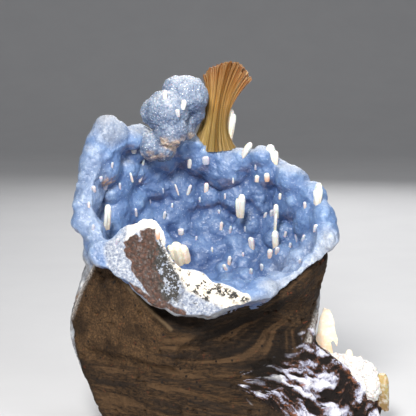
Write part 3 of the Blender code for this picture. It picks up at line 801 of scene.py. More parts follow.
def coffin(foot, tip, width, thick, spin=0.0, bevel=0.14):
    """A stout blade from its foot to its tip, with its edges worn off a little."""
    foot, tip = Vector(foot), Vector(tip)
    way = tip - foot
    turn = way.to_track_quat("Z", "Y").to_matrix().to_4x4() @ Matrix.Rotation(spin, 4, "Z")
    place = Matrix.Translation(foot) @ turn @ Matrix.Diagonal((width, thick, way.length, 1.0))
    thing = hull("blade", [place @ Vector((x * w, y * w * 1.1, z)) for z, w in BLADE for x, y in BLADE_PLAN])
    soften = thing.modifiers.new("soften", "BEVEL")
    soften.width = bevel * MM
    soften.segments = 2
    settle(thing)
    mark(thing, "along", [(v.co / MM - foot).dot(way) / way.length_squared for v in thing.data.vertices])
    return thing


def stack(name, foot, tip, width, thick, count, chance):
    """Blades grown side by side, as one crystal."""
    foot, tip = Vector(foot), Vector(tip)
    way = (tip - foot).normalized()
    side = way.cross(Vector((0, 1, 0))).normalized()
    out = side.cross(way).normalized()
    blades = [coffin(foot, tip, width * 0.8, thick, chance.uniform(-0.1, 0.1))]
    for _ in range(count):
        shift = side * width * chance.uniform(-0.28, 0.28) + out * thick * chance.uniform(-0.25, 0.25)
        short = chance.uniform(0.72, 0.97)
        blades.append(coffin(foot + shift, foot + (tip - foot) * short + shift * 0.9,
                             width * chance.uniform(0.38, 0.55), thick * chance.uniform(0.6, 0.95),
                             chance.uniform(-0.2, 0.2)))
    return join(name, blades)


def plate(name, outline, near, far):
    """A flat crystal with that outline in the view, between two depths."""
    shape = bmesh.new()
    rings = [[shape.verts.new(seen(*corner, depth) * MM) for corner in outline] for depth in (near, far)]
    shape.faces.new(rings[0])
    shape.faces.new(rings[1][::-1])
    for i in range(len(outline)):
        j = (i + 1) % len(outline)
        shape.faces.new((rings[0][i], rings[1][i], rings[1][j], rings[0][j]))
    bmesh.ops.recalc_face_normals(shape, faces=shape.faces)
    bmesh.ops.triangulate(shape, faces=shape.faces)
    bmesh.ops.subdivide_edges(shape, edges=shape.edges, cuts=3, use_grid_fill=True)
    thing = from_bmesh(name, shape)
    points = points_of(thing)
    put_points(thing, points + normals_of(thing) * (layers(points / 2.2, 95) * 0.28)[:, None])
    mark(thing, "along", ramp(points[:, 2], 24, 38))
    return thing


def make_knob():
    chance = random.Random(KNOB_SEED)
    knob = Volume((-33, -2, 82), (2, 29, 134), FINE_STEP)
    for across, down, depth, *radii in KNOB_LOBES:
        if (across, down) in SHRUNK:
            across, radii = across - 3, [r * 0.88 for r in radii]
        knob.ellipsoid(seen(across, down, depth), radii, None, 0.8)
    tree = tree_of(knob.mesh("knob_skin"))
    for _ in range(KNOB_BEADS):
        across, down, depth, *radii = chance.choice(KNOB_LOBES)
        middle = seen(across, down, depth)
        way = Vector([chance.gauss(0, 1) for _ in range(3)]).normalized()
        hit, normal = tree.ray_cast((middle + way * 30) * MM, -way)[:2]
        radius = chance.uniform(0.8, 2.0)
        if hit:
            knob.ellipsoid(hit / MM - normal * radius * 0.75, [radius] * 3, None, 0.8)
    bpy.data.objects.remove(bpy.data.objects["knob_skin"])
    return knob.mesh("knob_crust")


def make_prisms(trees):
    """The small crystals that stand on the lining."""
    chance = random.Random(PRISM_SEED)
    blades = []
    for across, down, length, width, lean, peach in PRISMS:
        hits = [tree.ray_cast(EYE * MM, sight(across, down + length * 0.35)) for tree in trees]
        hits = [hit for hit in hits if hit[0]]
        if not hits:
            continue
        hit = min(hits, key=lambda found: found[3])[0]
        scale = (hit / MM - EYE).length / FOCAL
        length, width = length * chance.uniform(0.8, 1.15), width * chance.uniform(0.65, 1.0)
        up = Vector((math.sin(math.radians(lean)), -0.35, math.cos(math.radians(lean))))
        foot = hit / MM - up.normalized() * 0.6
        blade = coffin(foot, foot + up.normalized() * (length * scale + 0.4), width * scale,
                       width * scale * chance.uniform(0.55, 0.8), chance.uniform(-0.5, 0.5), 0.07)
        mark(blade, "peach", [peach] * len(blade.data.vertices))
        mark(blade, "dull", [chance.uniform(0.0, 0.75) if length < 8.5 else 0.1] * len(blade.data.vertices))
        blades.append(blade)
    return join("small_crystals", blades)


# ---------------------------------------------------------------- colours on points


def region(across, down, corners, soft=4.0):
    """How far points of the view are inside an outline: 0 outside, 1 well inside."""
    corners = np.array(corners, float)
    inside = np.zeros(len(across), bool)
    gap = np.full(len(across), 1e9)
    for (ax, ay), (bx, by) in zip(corners, np.roll(corners, -1, axis=0)):
        crosses = (ay > down) != (by > down)
        with np.errstate(divide="ignore", invalid="ignore"):
            meet = ax + (down - ay) * (bx - ax) / (by - ay)
        inside ^= crosses & (across < meet)
        length = (bx - ax) ** 2 + (by - ay) ** 2
        along = np.clip(((across - ax) * (bx - ax) + (down - ay) * (by - ay)) / length, 0, 1)
        gap = np.minimum(gap, np.hypot(across - ax - along * (bx - ax), down - ay - along * (by - ay)))
    return ramp(np.where(inside, gap, -gap), -soft, soft)


def facing_view(points, normals):
    away = np.array(EYE) - points
    away /= np.linalg.norm(away, axis=1)[:, None]
    return ramp((away * normals).sum(axis=1), -0.1, 0.15)


class Graph:
    """The nodes of one material."""

    def __init__(self, name, roughness, **settings):
        self.material = bpy.data.materials.new(name)
        self.material.use_nodes = True
        self.tree = self.material.node_tree
        self.shader = self.tree.nodes["Principled BSDF"]
        self.shader.inputs["Roughness"].default_value = roughness
        for key, value in settings.items():
            self.shader.inputs[key.replace("_", " ")].default_value = value
        self.place = self.tree.nodes.new("ShaderNodeTexCoord").outputs["Object"]

    def node(self, kind, output, inputs, **settings):
        made = self.tree.nodes.new(kind)
        for key, value in settings.items():
            setattr(made, key, value)
        for key, value in inputs.items():
            if isinstance(value, bpy.types.NodeSocket):
                self.tree.links.new(value, made.inputs[key])
            else:
                made.inputs[key].default_value = value
        return made.outputs[output]

    def value(self, name):
        return self.node("ShaderNodeAttribute", "Fac", {}, attribute_name=name)

    def noise(self, size, detail=3.0, rough=0.55, place=None, distortion=0.0):
        """Noise with features of about that size, in mm."""
        return self.node("ShaderNodeTexNoise", "Fac", {
            "Vector": place or self.place, "Scale": 1.0 / (size * MM), "Detail": detail,
            "Roughness": rough, "Distortion": distortion})

    def cells(self, size, output="Distance", place=None):
        return self.node("ShaderNodeTexVoronoi", output, {
            "Vector": place or self.place, "Scale": 1.0 / (size * MM)})

    def stretched(self, scale, turn=(0.0, 0.0, 0.0)):
        return self.node("ShaderNodeMapping", "Vector", {
            "Vector": self.place, "Scale": scale, "Rotation": [math.radians(t) for t in turn]})

    def math(self, operation, a, b=0.0, clamp=False):
        return self.node("ShaderNodeMath", 0, {0: a, 1: b}, operation=operation, use_clamp=clamp)

    def spread(self, value, low, high, to_low=0.0, to_high=1.0):
        return self.node("ShaderNodeMapRange", "Result", {
            "Value": value, "From Min": low, "From Max": high, "To Min": to_low, "To Max": to_high},
            interpolation_type="SMOOTHSTEP")

    def ramp(self, value, stops):
        made = self.tree.nodes.new("ShaderNodeValToRGB")
        self.tree.links.new(value, made.inputs["Fac"])
        elements = made.color_ramp.elements
        for index, (place, colour) in enumerate(stops):
            spot = elements[index] if index < 2 else elements.new(place)
            spot.position = place
            spot.color = (*linear(colour), 1.0)
        return made.outputs["Color"]

    def mix(self, share, a, b, blend="MIX"):
        made = self.tree.nodes.new("ShaderNodeMix")
        made.data_type, made.blend_type, made.clamp_factor = "RGBA", blend, True
        for index, value in ((0, share), (6, a), (7, b)):
            if isinstance(value, bpy.types.NodeSocket):
                self.tree.links.new(value, made.inputs[index])
            else:
                made.inputs[index].default_value = (*linear(value), 1.0) if index else value
        return made.outputs[2]

    def colour(self, socket):
        self.tree.links.new(socket, self.shader.inputs["Base Color"])

    def roughness(self, value, low, high):
        self.tree.links.new(self.spread(value, 0.3, 0.7, low, high), self.shader.inputs["Roughness"])

    def bump(self, *heights):
        """Each height is a socket, the height of its relief in mm, and its strength."""
        normal = None
        for height, tall, strength in heights:
            inputs = {"Height": height, "Distance": tall * MM, "Strength": strength}
            if normal:
                inputs["Normal"] = normal
            normal = self.node("ShaderNodeBump", "Normal", inputs)
        self.tree.links.new(normal, self.shader.inputs["Normal"])


def linear(colour):
    """A colour given as on screen, 0 to 255, as light."""
    parts = [c / 255.0 for c in colour]
    return [p / 12.92 if p <= 0.04045 else ((p + 0.055) / 1.055) ** 2.4 for p in parts]


def wear(thing, graph):
    thing.data.materials.clear()
    thing.data.materials.append(graph.material)


def chalcedony_look():
    look = Graph("druse_on_chalcedony", 0.42, Subsurface_Weight=0.12, Subsurface_Scale=0.002, Coat_Weight=0.08,
                 Coat_Roughness=0.25)
    look.shader.inputs["Subsurface Radius"].default_value = (0.5, 0.8, 1.2)
    cloud = look.noise(5.0, 3.0)
    fine = look.noise(0.7, 4.0, 0.7)
    # Painted light and shade: the tone is darker in the recesses between lumps and paler on the lumps and on faces
    # turned up, as shade and top light would fall; the paler lumps are partly the crust's own colour, and the noise is
    # its own cloudy tone.
    tone = look.math("ADD", look.math("MULTIPLY", look.value("stand"), 0.14), 0.47)
    for value, weight in ((look.value("fine"), 0.26), (look.value("up"), 0.1),
                          (look.math("SUBTRACT", cloud, 0.5), 0.4), (look.math("SUBTRACT", fine, 0.5), 0.3)):
        tone = look.math("ADD", tone, look.math("MULTIPLY", value, weight))
    body = look.ramp(tone, [(0.08, (44, 62, 102)), (1.0, (210, 218, 226)), (0.32, (72, 98, 144)),
                            (0.55, (98, 126, 168)), (0.8, (142, 166, 196))])
    # Painted shade: a deeper blue in the depth of the hollow behind the lip.
    body = look.mix(look.value("deep"), body, look.mix(look.spread(tone, 0.3, 0.9), (44, 60, 100), (92, 116, 158)))
    body = look.mix(look.math("MULTIPLY", look.value("pale"), 0.8), body,
                    look.ramp(fine, [(0.35, (166, 172, 182)), (0.65, (226, 225, 220))]))
    stain = look.spread(look.noise(3.0, 4.0, 0.6), 0.42, 0.6)
    body = look.mix(look.math("MULTIPLY", look.value("stain"), stain), body,
                    look.ramp(fine, [(0.3, (128, 82, 52)), (0.7, (214, 168, 120))]))
    body = look.mix(look.value("grey"), body, look.ramp(tone, [(0.15, (70, 76, 88)), (0.9, (206, 207, 208)),
                                                               (0.5, (128, 136, 150))]))
    sparkle = look.math("MULTIPLY", look.spread(look.cells(0.9), 0.24, 0.1, 0.0, 0.5), look.spread(fine, 0.4, 0.6))
    body = look.mix(sparkle, body, (226, 230, 236))
    back = look.ramp(look.noise(6.0, 5.0, 0.65), [(0.3, (84, 80, 76)), (0.7, (186, 186, 186)),
                                                  (0.45, (116, 116, 120)), (0.57, (148, 152, 158))])
    back = look.mix(look.spread(look.noise(9.0, 4.0, 0.6), 0.52, 0.68), back, (118, 92, 66))
    body = look.mix(look.value("outside"), body, back)
    cream = look.ramp(look.noise(1.3, 4.0, 0.65), [(0.3, (200, 178, 148)), (0.56, (240, 234, 222))])
    frost = look.ramp(look.noise(0.9, 4.0, 0.7), [(0.3, (80, 92, 118)), (0.68, (190, 193, 198)),
                                                  (0.46, (128, 136, 152))])
    edge = look.spread(look.value("core"), 0.25, 0.6)
    core = look.ramp(look.noise(1.0, 5.0, 0.7), [(0.32, (28, 18, 13)), (0.76, (112, 68, 46)),
                                                 (0.5, (62, 36, 25))])
    lip = look.mix(look.value("cream"), frost, cream)
    lip = look.mix(edge, lip, core)
    specks = look.spread(look.cells(1.2), 0.42, 0.26)
    patches = look.spread(look.noise(1.6, 4.0, 0.7), 0.45, 0.52)
    black = look.math("MULTIPLY", look.math("MAXIMUM", specks, patches), look.value("specks"), True)
    lip = look.mix(black, lip, (36, 33, 29))
    body = look.mix(look.value("lip"), body, lip)
    look.colour(body)
    gloss = look.math("ADD", look.spread(fine, 0.3, 0.7, 0.3, 0.55), look.math("MULTIPLY", look.value("lip"), 0.3))
    look.tree.links.new(gloss, look.shader.inputs["Roughness"])
    look.bump((look.cells(0.8), -0.2, 0.35), (fine, 0.2, 0.4))
    return look


def basalt_look():
    look = Graph("broken_basalt", 0.85, Specular_IOR_Level=0.2)
    broad, fine = look.noise(8.0, 4.0, 0.6), look.noise(0.7, 5.0, 0.7)
    body = look.ramp(fine, [(0.3, (22, 17, 13)), (0.72, (76, 57, 38)), (0.5, (44, 33, 23))])
    # The fin face takes a lighter, lit copy of the basalt's colour: painted light.
    lit = look.ramp(fine, [(0.3, (40, 29, 19)), (0.72, (112, 84, 54)), (0.5, (70, 52, 34))])
    body = look.mix(look.value("fin"), body, lit)
    body = look.mix(look.spread(broad, 0.42, 0.7, 0.0, 0.7), body, (60, 50, 40), "MULTIPLY")
    along = look.stretched((0.09, 0.5, 1.0), (0, 14, 0))
    streaks = look.noise(0.55, 4.0, 0.7, along, 0.3)
    grain = look.mix(look.spread(streaks, 0.36, 0.66), (22, 16, 12), (84, 62, 40))
    body = look.mix(look.math("MULTIPLY", look.value("streaky"), 0.75), body, grain)
    bands = look.math("ADD", look.value("streak"), look.math("MULTIPLY", look.math("SUBTRACT", fine, 0.5), 0.3))
    body = look.mix(look.spread(bands, 0.56, 0.7, 0.0, 0.8), body, (36, 28, 22))
    body = look.mix(look.spread(bands, 0.42, 0.28, 0.0, 0.45), body, (98, 74, 50))
    rust = look.spread(look.noise(2.4, 4.0, 0.65), 0.62, 0.7)
    body = look.mix(look.math("MULTIPLY", rust, look.value("rusty")), body, (140, 68, 40))
    holes = look.spread(look.cells(3.4), 0.17, 0.10)
    body = look.mix(holes, body, (26, 21, 18))
    # Near black on the black zone at the left of the ledge, and painted shade in the scoop and under the lip.
    shade_and_dark_zone_share = look.spread(bands, 0.3, 0.56, 0.2, 1.0)
    body = look.mix(look.math("MULTIPLY", look.value("dark"), shade_and_dark_zone_share), body, (16, 12, 9))
    # Painted highlight: a light line along the crease edge.
    body = look.mix(look.math("MULTIPLY", look.value("crease_highlight"), 0.3), body, (150, 126, 96))
    white = look.ramp(look.noise(1.0, 4.0, 0.7), [(0.3, (150, 138, 128)), (0.65, (236, 234, 232))])
    body = look.mix(look.math("MULTIPLY", look.value("coat"), look.spread(fine, 0.35, 0.55)), body, white)
    bent = look.stretched((0.2, 0.7, 1.0), (0, 24, 0))
    sheets = look.math("ADD", look.value("sheet"), look.math("MULTIPLY", look.math("SUBTRACT", fine, 0.5), 0.45))
    veins = look.ramp(sheets, [(0.44, (26, 20, 18)), (0.78, (236, 236, 240)), (0.49, (92, 62, 46)),
                               (0.53, (86, 80, 88)), (0.6, (164, 164, 184))])
    rusts = look.spread(look.noise(3.0, 4.0, 0.7, bent), 0.58, 0.64)
    veins = look.mix(look.math("MULTIPLY", rusts, look.spread(fine, 0.62, 0.45, 0.0, 0.6)), veins, (150, 92, 60))
    gaps = look.spread(look.noise(2.6, 4.0, 0.6, bent, 0.8), 0.6, 0.64)
    veins = look.mix(gaps, veins, (36, 29, 27))
    body = look.mix(look.value("vein"), body, veins)
    look.colour(body)
    look.bump((look.cells(3.4), 0.4, 0.4), (fine, 0.4, 0.7), (streaks, 0.3, 0.5), (sheets, 0.5, 0.5))
    return look


def knob_look():
    look = Graph("pale_chalcedony", 0.4, Subsurface_Weight=0.15, Subsurface_Scale=0.002, Coat_Weight=0.15)
    fine = look.noise(0.8, 4.0, 0.7)
    # Painted light and shade: darker in the recesses between the beads and paler on the beads and on faces turned up,
    # as shade and top light would fall; the noise is the knob's own cloudy tone.
    tone = look.math("ADD", look.math("MULTIPLY", look.value("stand"), 0.12), 0.47)
    for value, weight in ((look.value("fine"), 0.6), (look.value("up"), 0.24),
                          (look.math("SUBTRACT", look.noise(4.0, 3.0), 0.5), 0.5),
                          (look.math("SUBTRACT", fine, 0.5), 0.35)):
        tone = look.math("ADD", tone, look.math("MULTIPLY", value, weight))
    body = look.ramp(tone, [(0.15, (48, 64, 98)), (0.95, (214, 215, 216)), (0.36, (82, 98, 126)),
                            (0.6, (126, 139, 160))])
    under = look.math("MULTIPLY", look.value("under"), look.spread(look.noise(3.5, 2.0), 0.35, 0.6, 0.0, 0.8))
    body = look.mix(under, body, look.ramp(fine, [(0.35, (150, 112, 84)), (0.62, (222, 200, 174))]))
    sparkle = look.math("MULTIPLY", look.spread(look.cells(0.9), 0.26, 0.12, 0.0, 0.7), look.spread(fine, 0.4, 0.6))
    body = look.mix(sparkle, body, (236, 238, 240))
    look.colour(body)
    look.bump((look.cells(0.8), -0.25, 0.45), (fine, 0.25, 0.5))
    return look


def stilbite_look():
    look = Graph("stilbite_fibres", 0.32, Subsurface_Weight=0.2, Subsurface_Scale=0.002, Coat_Weight=0.25,
                 Coat_Roughness=0.2, Specular_IOR_Level=0.6)
    look.shader.inputs["Subsurface Radius"].default_value = (1.2, 0.6, 0.25)
    lanes = look.node("ShaderNodeCombineXYZ", 0, {
        0: look.math("MULTIPLY", look.value("lane"), 60.0), 1: look.math("MULTIPLY", look.value("along"), 3.0),
        2: look.math("MULTIPLY", look.value("tint"), 9.0)})
    streak = look.node("ShaderNodeTexNoise", "Fac", {
        "Vector": lanes, "Scale": 1.0, "Detail": 4.0, "Roughness": 0.65})
    body = look.ramp(look.value("along"), [(0.0, (146, 124, 70)), (1.0, (112, 56, 18)), (0.3, (172, 142, 78)),
                                           (0.56, (200, 152, 80)), (0.86, (146, 86, 30))])
    body = look.mix(look.spread(streak, 0.35, 0.7), body,
                    look.mix(look.value("tint"), (212, 182, 132), (116, 84, 46)))
    body = look.mix(look.spread(look.value("tint"), 0.55, 1.0, 0.0, 0.4), body, (122, 80, 38))
    look.colour(body)
    look.bump((streak, 0.25, 0.5))
    return look


def crystal_look(name, clear, tip, foot, roughness=0.18):
    look = Graph(name, roughness, Transmission_Weight=clear, IOR=1.5, Coat_Weight=0.3, Coat_Roughness=0.1,
                 Subsurface_Weight=0.25, Subsurface_Scale=0.002)
    grain = look.noise(1.2, 4.0, 0.6)
    body = look.mix(look.spread(look.value("along"), 0.1, 0.95), foot, tip)
    body = look.mix(look.spread(grain, 0.45, 0.7, 0.0, 0.55), body, (250, 246, 238))
    body = look.mix(look.spread(look.noise(0.8, 3.0), 0.66, 0.74, 0.0, 0.5), body, (170, 124, 92))
    look.colour(body)
    look.bump((look.noise(0.6, 3.0, 0.6, look.stretched((1.0, 1.0, 0.25))), 0.15, 0.35))
    return look


def prism_look():
    look = Graph("small_crystal", 0.2, IOR=1.5, Coat_Weight=0.3, Subsurface_Weight=0.3,
                 Subsurface_Scale=0.001)
    tinge = look.math("MULTIPLY", look.value("peach"), look.spread(look.value("along"), 1.0, 0.2), True)
    body = look.mix(tinge, (236, 232, 224), (222, 160, 112))
    body = look.mix(look.spread(look.noise(0.7, 3.0), 0.5, 0.75, 0.0, 0.35), body, (168, 176, 196))
    clear = look.math("MULTIPLY", look.value("dull"), look.spread(look.value("along"), 1.0, 0.1, 0.7, 1.0))
    look.colour(look.mix(clear, body, (128, 148, 186)))
    look.bump((look.noise(0.4, 3.0), 0.1, 0.3))
    return look


def druse_look():
    look = Graph("ledge_frost", 0.35, Coat_Weight=0.2, Subsurface_Weight=0.15, Subsurface_Scale=0.001)
    fine = look.noise(0.7, 4.0, 0.7)
    body = look.ramp(fine, [(0.2, (104, 94, 90)), (0.58, (236, 233, 228)), (0.36, (184, 178, 176))])
    body = look.mix(look.spread(look.noise(2.6, 3.0), 0.58, 0.7, 0.0, 0.55), body, (178, 136, 104))
    look.colour(body)
    look.bump((look.cells(0.8), -0.4, 0.7), (fine, 0.3, 0.6))
    return look


# ---------------------------------------------------------------- pieces


def dress_crust(thing):
    points, normals, edges = points_of(thing), normals_of(thing), edges_of(thing)
    stand = bulge_of(points, normals, edges, 40)
    broken = np.abs(points @ LIP_WAY - np.dot(LIP_FACE_POINT, LIP_WAY)) < 0.9
    broken &= normals @ LIP_WAY > 0.6
    share = np.where(broken, 1.2, 1.0)
    put_points(thing, points + normals * (layers(points / 4.5, 81) * np.where(broken, 0.35, 0.5))[:, None])
    druse(thing, 1.3, 0.22, 21, share)
    points = points_of(thing)
    normals = normals_of(thing)
    fine = bulge_of(points, normals, edges, 5) + 0.5 * bulge_of(points, normals, edges, 14)
    across, down = view_of(points)
    seen_here = facing_view(points, normals) * (points[:, 1] < 32)
    turn = turned(HOLLOW_ROLL, 90.0 - HOLLOW_FACING)
    local = (points - HOLLOW_CENTRE) @ np.array(turn)
    depth = np.linalg.norm(local / np.array(HOLLOW_RADII), axis=1)
    outside = ramp(depth, 1.14, 1.28)
    wobble = layers(points / 3.0, 5)
    lip = ramp(averaged(broken.astype(float), edges, 3), 0.2, 0.6)
    lip *= region(across + wobble * 3, down + wobble * 3, LIP_ZONE, 3.0)
    core = region(across + wobble * 4, down + wobble * 4, LIP_CORE, 3.0)
    specks = region(across, down, LIP_SPECKS, 5.0)
    strip = region(across + wobble * 3, down, DARK_STRIP, 4.0)
    # stand and fine say how far points stand out; the material darkens the recesses with them as painted shade.
    mark(thing, "stand", stand)
    mark(thing, "fine", fine)
    mark(thing, "outside", outside * (1 - 0.75 * seen_here * ramp(points[:, 2], 66, 80)))
    mark(thing, "lip", lip)
    mark(thing, "core", np.maximum(core, strip) * lip)
    scattered = region(across, down, SCATTERED, 6.0) * (cells(points / 1.6, 77)[1] > 0.72)
    dashes = region(across + wobble * 3, down + wobble * 2, LIP_DASHES, 2.5)
    mark(thing, "specks", np.maximum.reduce([specks, core * 0.3, dashes, scattered]) * lip)
    mark(thing, "cream", region(across + wobble * 2, down + wobble * 2, LIP_CREAM, 3.0))
    # Painted shade in the lower back of the hollow and behind the lip, kept off the lip.
    shade_pocket = ramp(0.93 - np.linalg.norm((points - (-12.8, 14, 58.4)) / (11, 14, 10), axis=1), -0.2, 0.6)
    mark(thing, "deep", np.maximum(shade_pocket * 0.8, region(across, down, SHADED_HOLLOW_AREA, 18.0) * 0.4) * (1 - lip))
    right = region(across, down, RIGHT_RIM, 8.0) * seen_here * (0.3 + 0.7 * ramp(depth, 0.98, 1.05))
    # up says how far points face upwards; the material lightens the tops with it as painted top light.
    up = averaged(normals[:, 2], edges, 12)
    crest = ramp(up, 0.2, 0.9) * ramp(points[:, 2], 84, 98)
    mark(thing, "up", up)
    horn = region(across, down, HORN, 7.0) * seen_here
    mark(thing, "pale", np.maximum.reduce([right * 0.6, ramp(stand, 1.4, 2.6) * 0.25, crest * 0.4, horn * 0.2]))
    left = region(across, down, LEFT_WALL, 10.0) * seen_here
    mark(thing, "grey", np.maximum.reduce([horn * 0.65, left * 0.35, right * 0.4, crest * 0.4]))
    mark(thing, "stain", ramp(-averaged(normals[:, 2], edges, 20), 0.2, 0.6) * (0.2 + region(across, down, STAINED, 8.0)))


def settle_in(thing, look, slot, *nodes):
    """Give a piece its material, and let it ride in place of those nodes."""
    wear(thing, look)
    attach(thing, "root")
    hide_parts(*nodes)


def sheets_of(points, across, down):
    """Sheets that fan out over the ledge: high on a sheet, low between two."""
    wander = layers(points / 7.0, 73)
    along = np.hypot(across - FAN[0], down - FAN[1])
    turn = np.arctan2(down - FAN[1], across - FAN[0]) + 0.06 * wander + 0.14 * np.sin(along / 21)
    return layers(np.stack([along / 17, turn * 15, points[:, 1] / 7], axis=1), 91, 4)


def streaks_of(points, across, down):
    """Streaks of the broken face, which bend upwards to the right."""
    high = np.clip((400 - down) / 70, 0, 1)
    bend = np.maximum(across - 170, 0) ** 2 / 320
    level = down + high * bend - (1 - high) * 0.25 * (across - 170)
    return layers(np.stack([across / 55, level / 4, points[:, 1] / 12], axis=1), 87, 4)


def make_basalt(stone):
    """The basalt, with its pits, its rough skin and the broken face of the ledge."""
    chance = random.Random(STONE_SEED)
    skin = stone.mesh("skin")
    tree = tree_of(skin)
    for _ in range(PITS):
        way = Vector((chance.uniform(-1, 1), chance.uniform(-1, 1), chance.uniform(-0.2, 0.4))).normalized()
        start = Vector((chance.uniform(-45, 45), chance.uniform(-15, 25), chance.uniform(2, 66)))
        hit, normal = tree.ray_cast((start + way * 120) * MM, -way)[:2]
        if hit:
            size = chance.uniform(0.5, 1.3)
            stone.hole(hit / MM, [size * chance.uniform(0.8, 1.6), size, size], None, 0.2)
    for across, down, width, tall in VESICLES:
        hit, normal = tree.ray_cast(EYE * MM, sight(across, down))[:2]
        if hit:
            stone.hole(hit / MM, [width * 0.17, 0.9, tall * 0.17], None, 0.2)
    for across, down, deep, rx, ry, rz, roll, soft in GROOVES:
        hit, normal = tree.ray_cast(EYE * MM, sight(across, down))[:2]
        if hit:
            stone.hole(hit / MM + Vector((0, -1, 0)) * (ry - deep), (rx, ry, rz), turned(roll), soft)
    for index in range(40):
        across, down = between(LONG_GROOVE, index / 39)
        hit, normal = tree.ray_cast(EYE * MM, sight(across, down))[:2]
        if hit:
            deep = 1.1 * math.sin(math.pi * (index + 1) / 41) + chance.uniform(-0.15, 0.15)
            stone.hole(hit / MM + Vector((0, -1, 0)) * (6 - deep), (5, 6, 2.6), turned(20), 2.0)
    bpy.data.objects.remove(skin)
    thing = stone.mesh("basalt_stone")
    edges = edges_of(thing)
    points, normals = points_of(thing), normals_of(thing)
    calm = ramp(points[:, 2], 0.2, 1.5)
    rough = layers(points / 5.0, 31, 5) * 0.55 + layers(points / 1.1, 41, 3) * 0.16
    chip, _ = cells(points / 4.5 + layers(points / 3.0, 51)[:, None] * 0.2, 61)
    rough += (chip - 0.5) * 0.7
    across, down = view_of(points)
    ledge = region(across, down, LEDGE_FACE, 4.0) * facing_view(points, normals)
    sheet, streak = sheets_of(points, across, down), streaks_of(points, across, down)
    streaky = region(across, down, STREAKY, 12.0)
    rough += ledge * (sheet * 1.0 - 0.3) + (1 - ledge) * streak * streaky * 0.35
    put_points(thing, points + normals * (rough * calm * 0.8)[:, None])
    points, normals = points_of(thing), normals_of(thing)
    across, down = view_of(points)
    front = facing_view(points, normals)
    wobble = layers(points / 2.5, 71)
    wander = layers(points / 6.0, 73, 3)
    vein = region(across + sheet * 11 + wander * 4, down + sheet * 2, LEDGE_FACE, 3.0) * front
    ledge_back = ramp(points[:, 0], 30, 36) * ramp(40 - points[:, 2], 0, 4)
    dark = region(across + wobble * 5, down + wobble * 5, LEDGE_DARK, 4.0) * 0.9
    dark = np.maximum(dark, region(across, down, SCOOP_SHADE, 9.0) * 0.75)
    coat = np.maximum(region(across, down, LEFT_COAT, 3.0), region(across, down, RIGHT_COAT, 3.0)) * front
    mark(thing, "vein", np.maximum(vein * (1 - dark * 0.8), ledge_back * 0.55))
    # Painted shade under the lip.
    dark = np.maximum(dark, region(across + wobble * 2, down + wobble * 2, UNDER_LIP_SHADE, 5.0) * 0.8)
    mark(thing, "dark", dark * front)
    white = region(across + wobble * 3, down + wobble * 3, LEDGE_WHITE, 4.0) * front * ramp(sheet, -0.2, 0.5)
    mark(thing, "coat", np.maximum(coat, white * 0.8))
    mark(thing, "sheet", 0.5 + 0.33 * sheet)
    streaky = region(across, down, STREAKY, 12.0)
    mark(thing, "streak", 0.5 + (0.06 + 0.28 * streaky) * streak)
    # Painted highlight along the crease edge.
    crease_highlight = region(across, down, CREASE_HIGHLIGHT, 1.2) * front
    mark(thing, "crease_highlight", crease_highlight)
    # The fin face, painted lighter as lit: painted light.
    mark(thing, "fin", region(across, down, LIT_FIN_FACE, 4.0) * front)
    mark(thing, "streaky", 0.15 + 0.6 * streaky)
    mark(thing, "rusty", 0.15 + region(across, down, RUSTY, 10.0) * 0.65)
    return thing


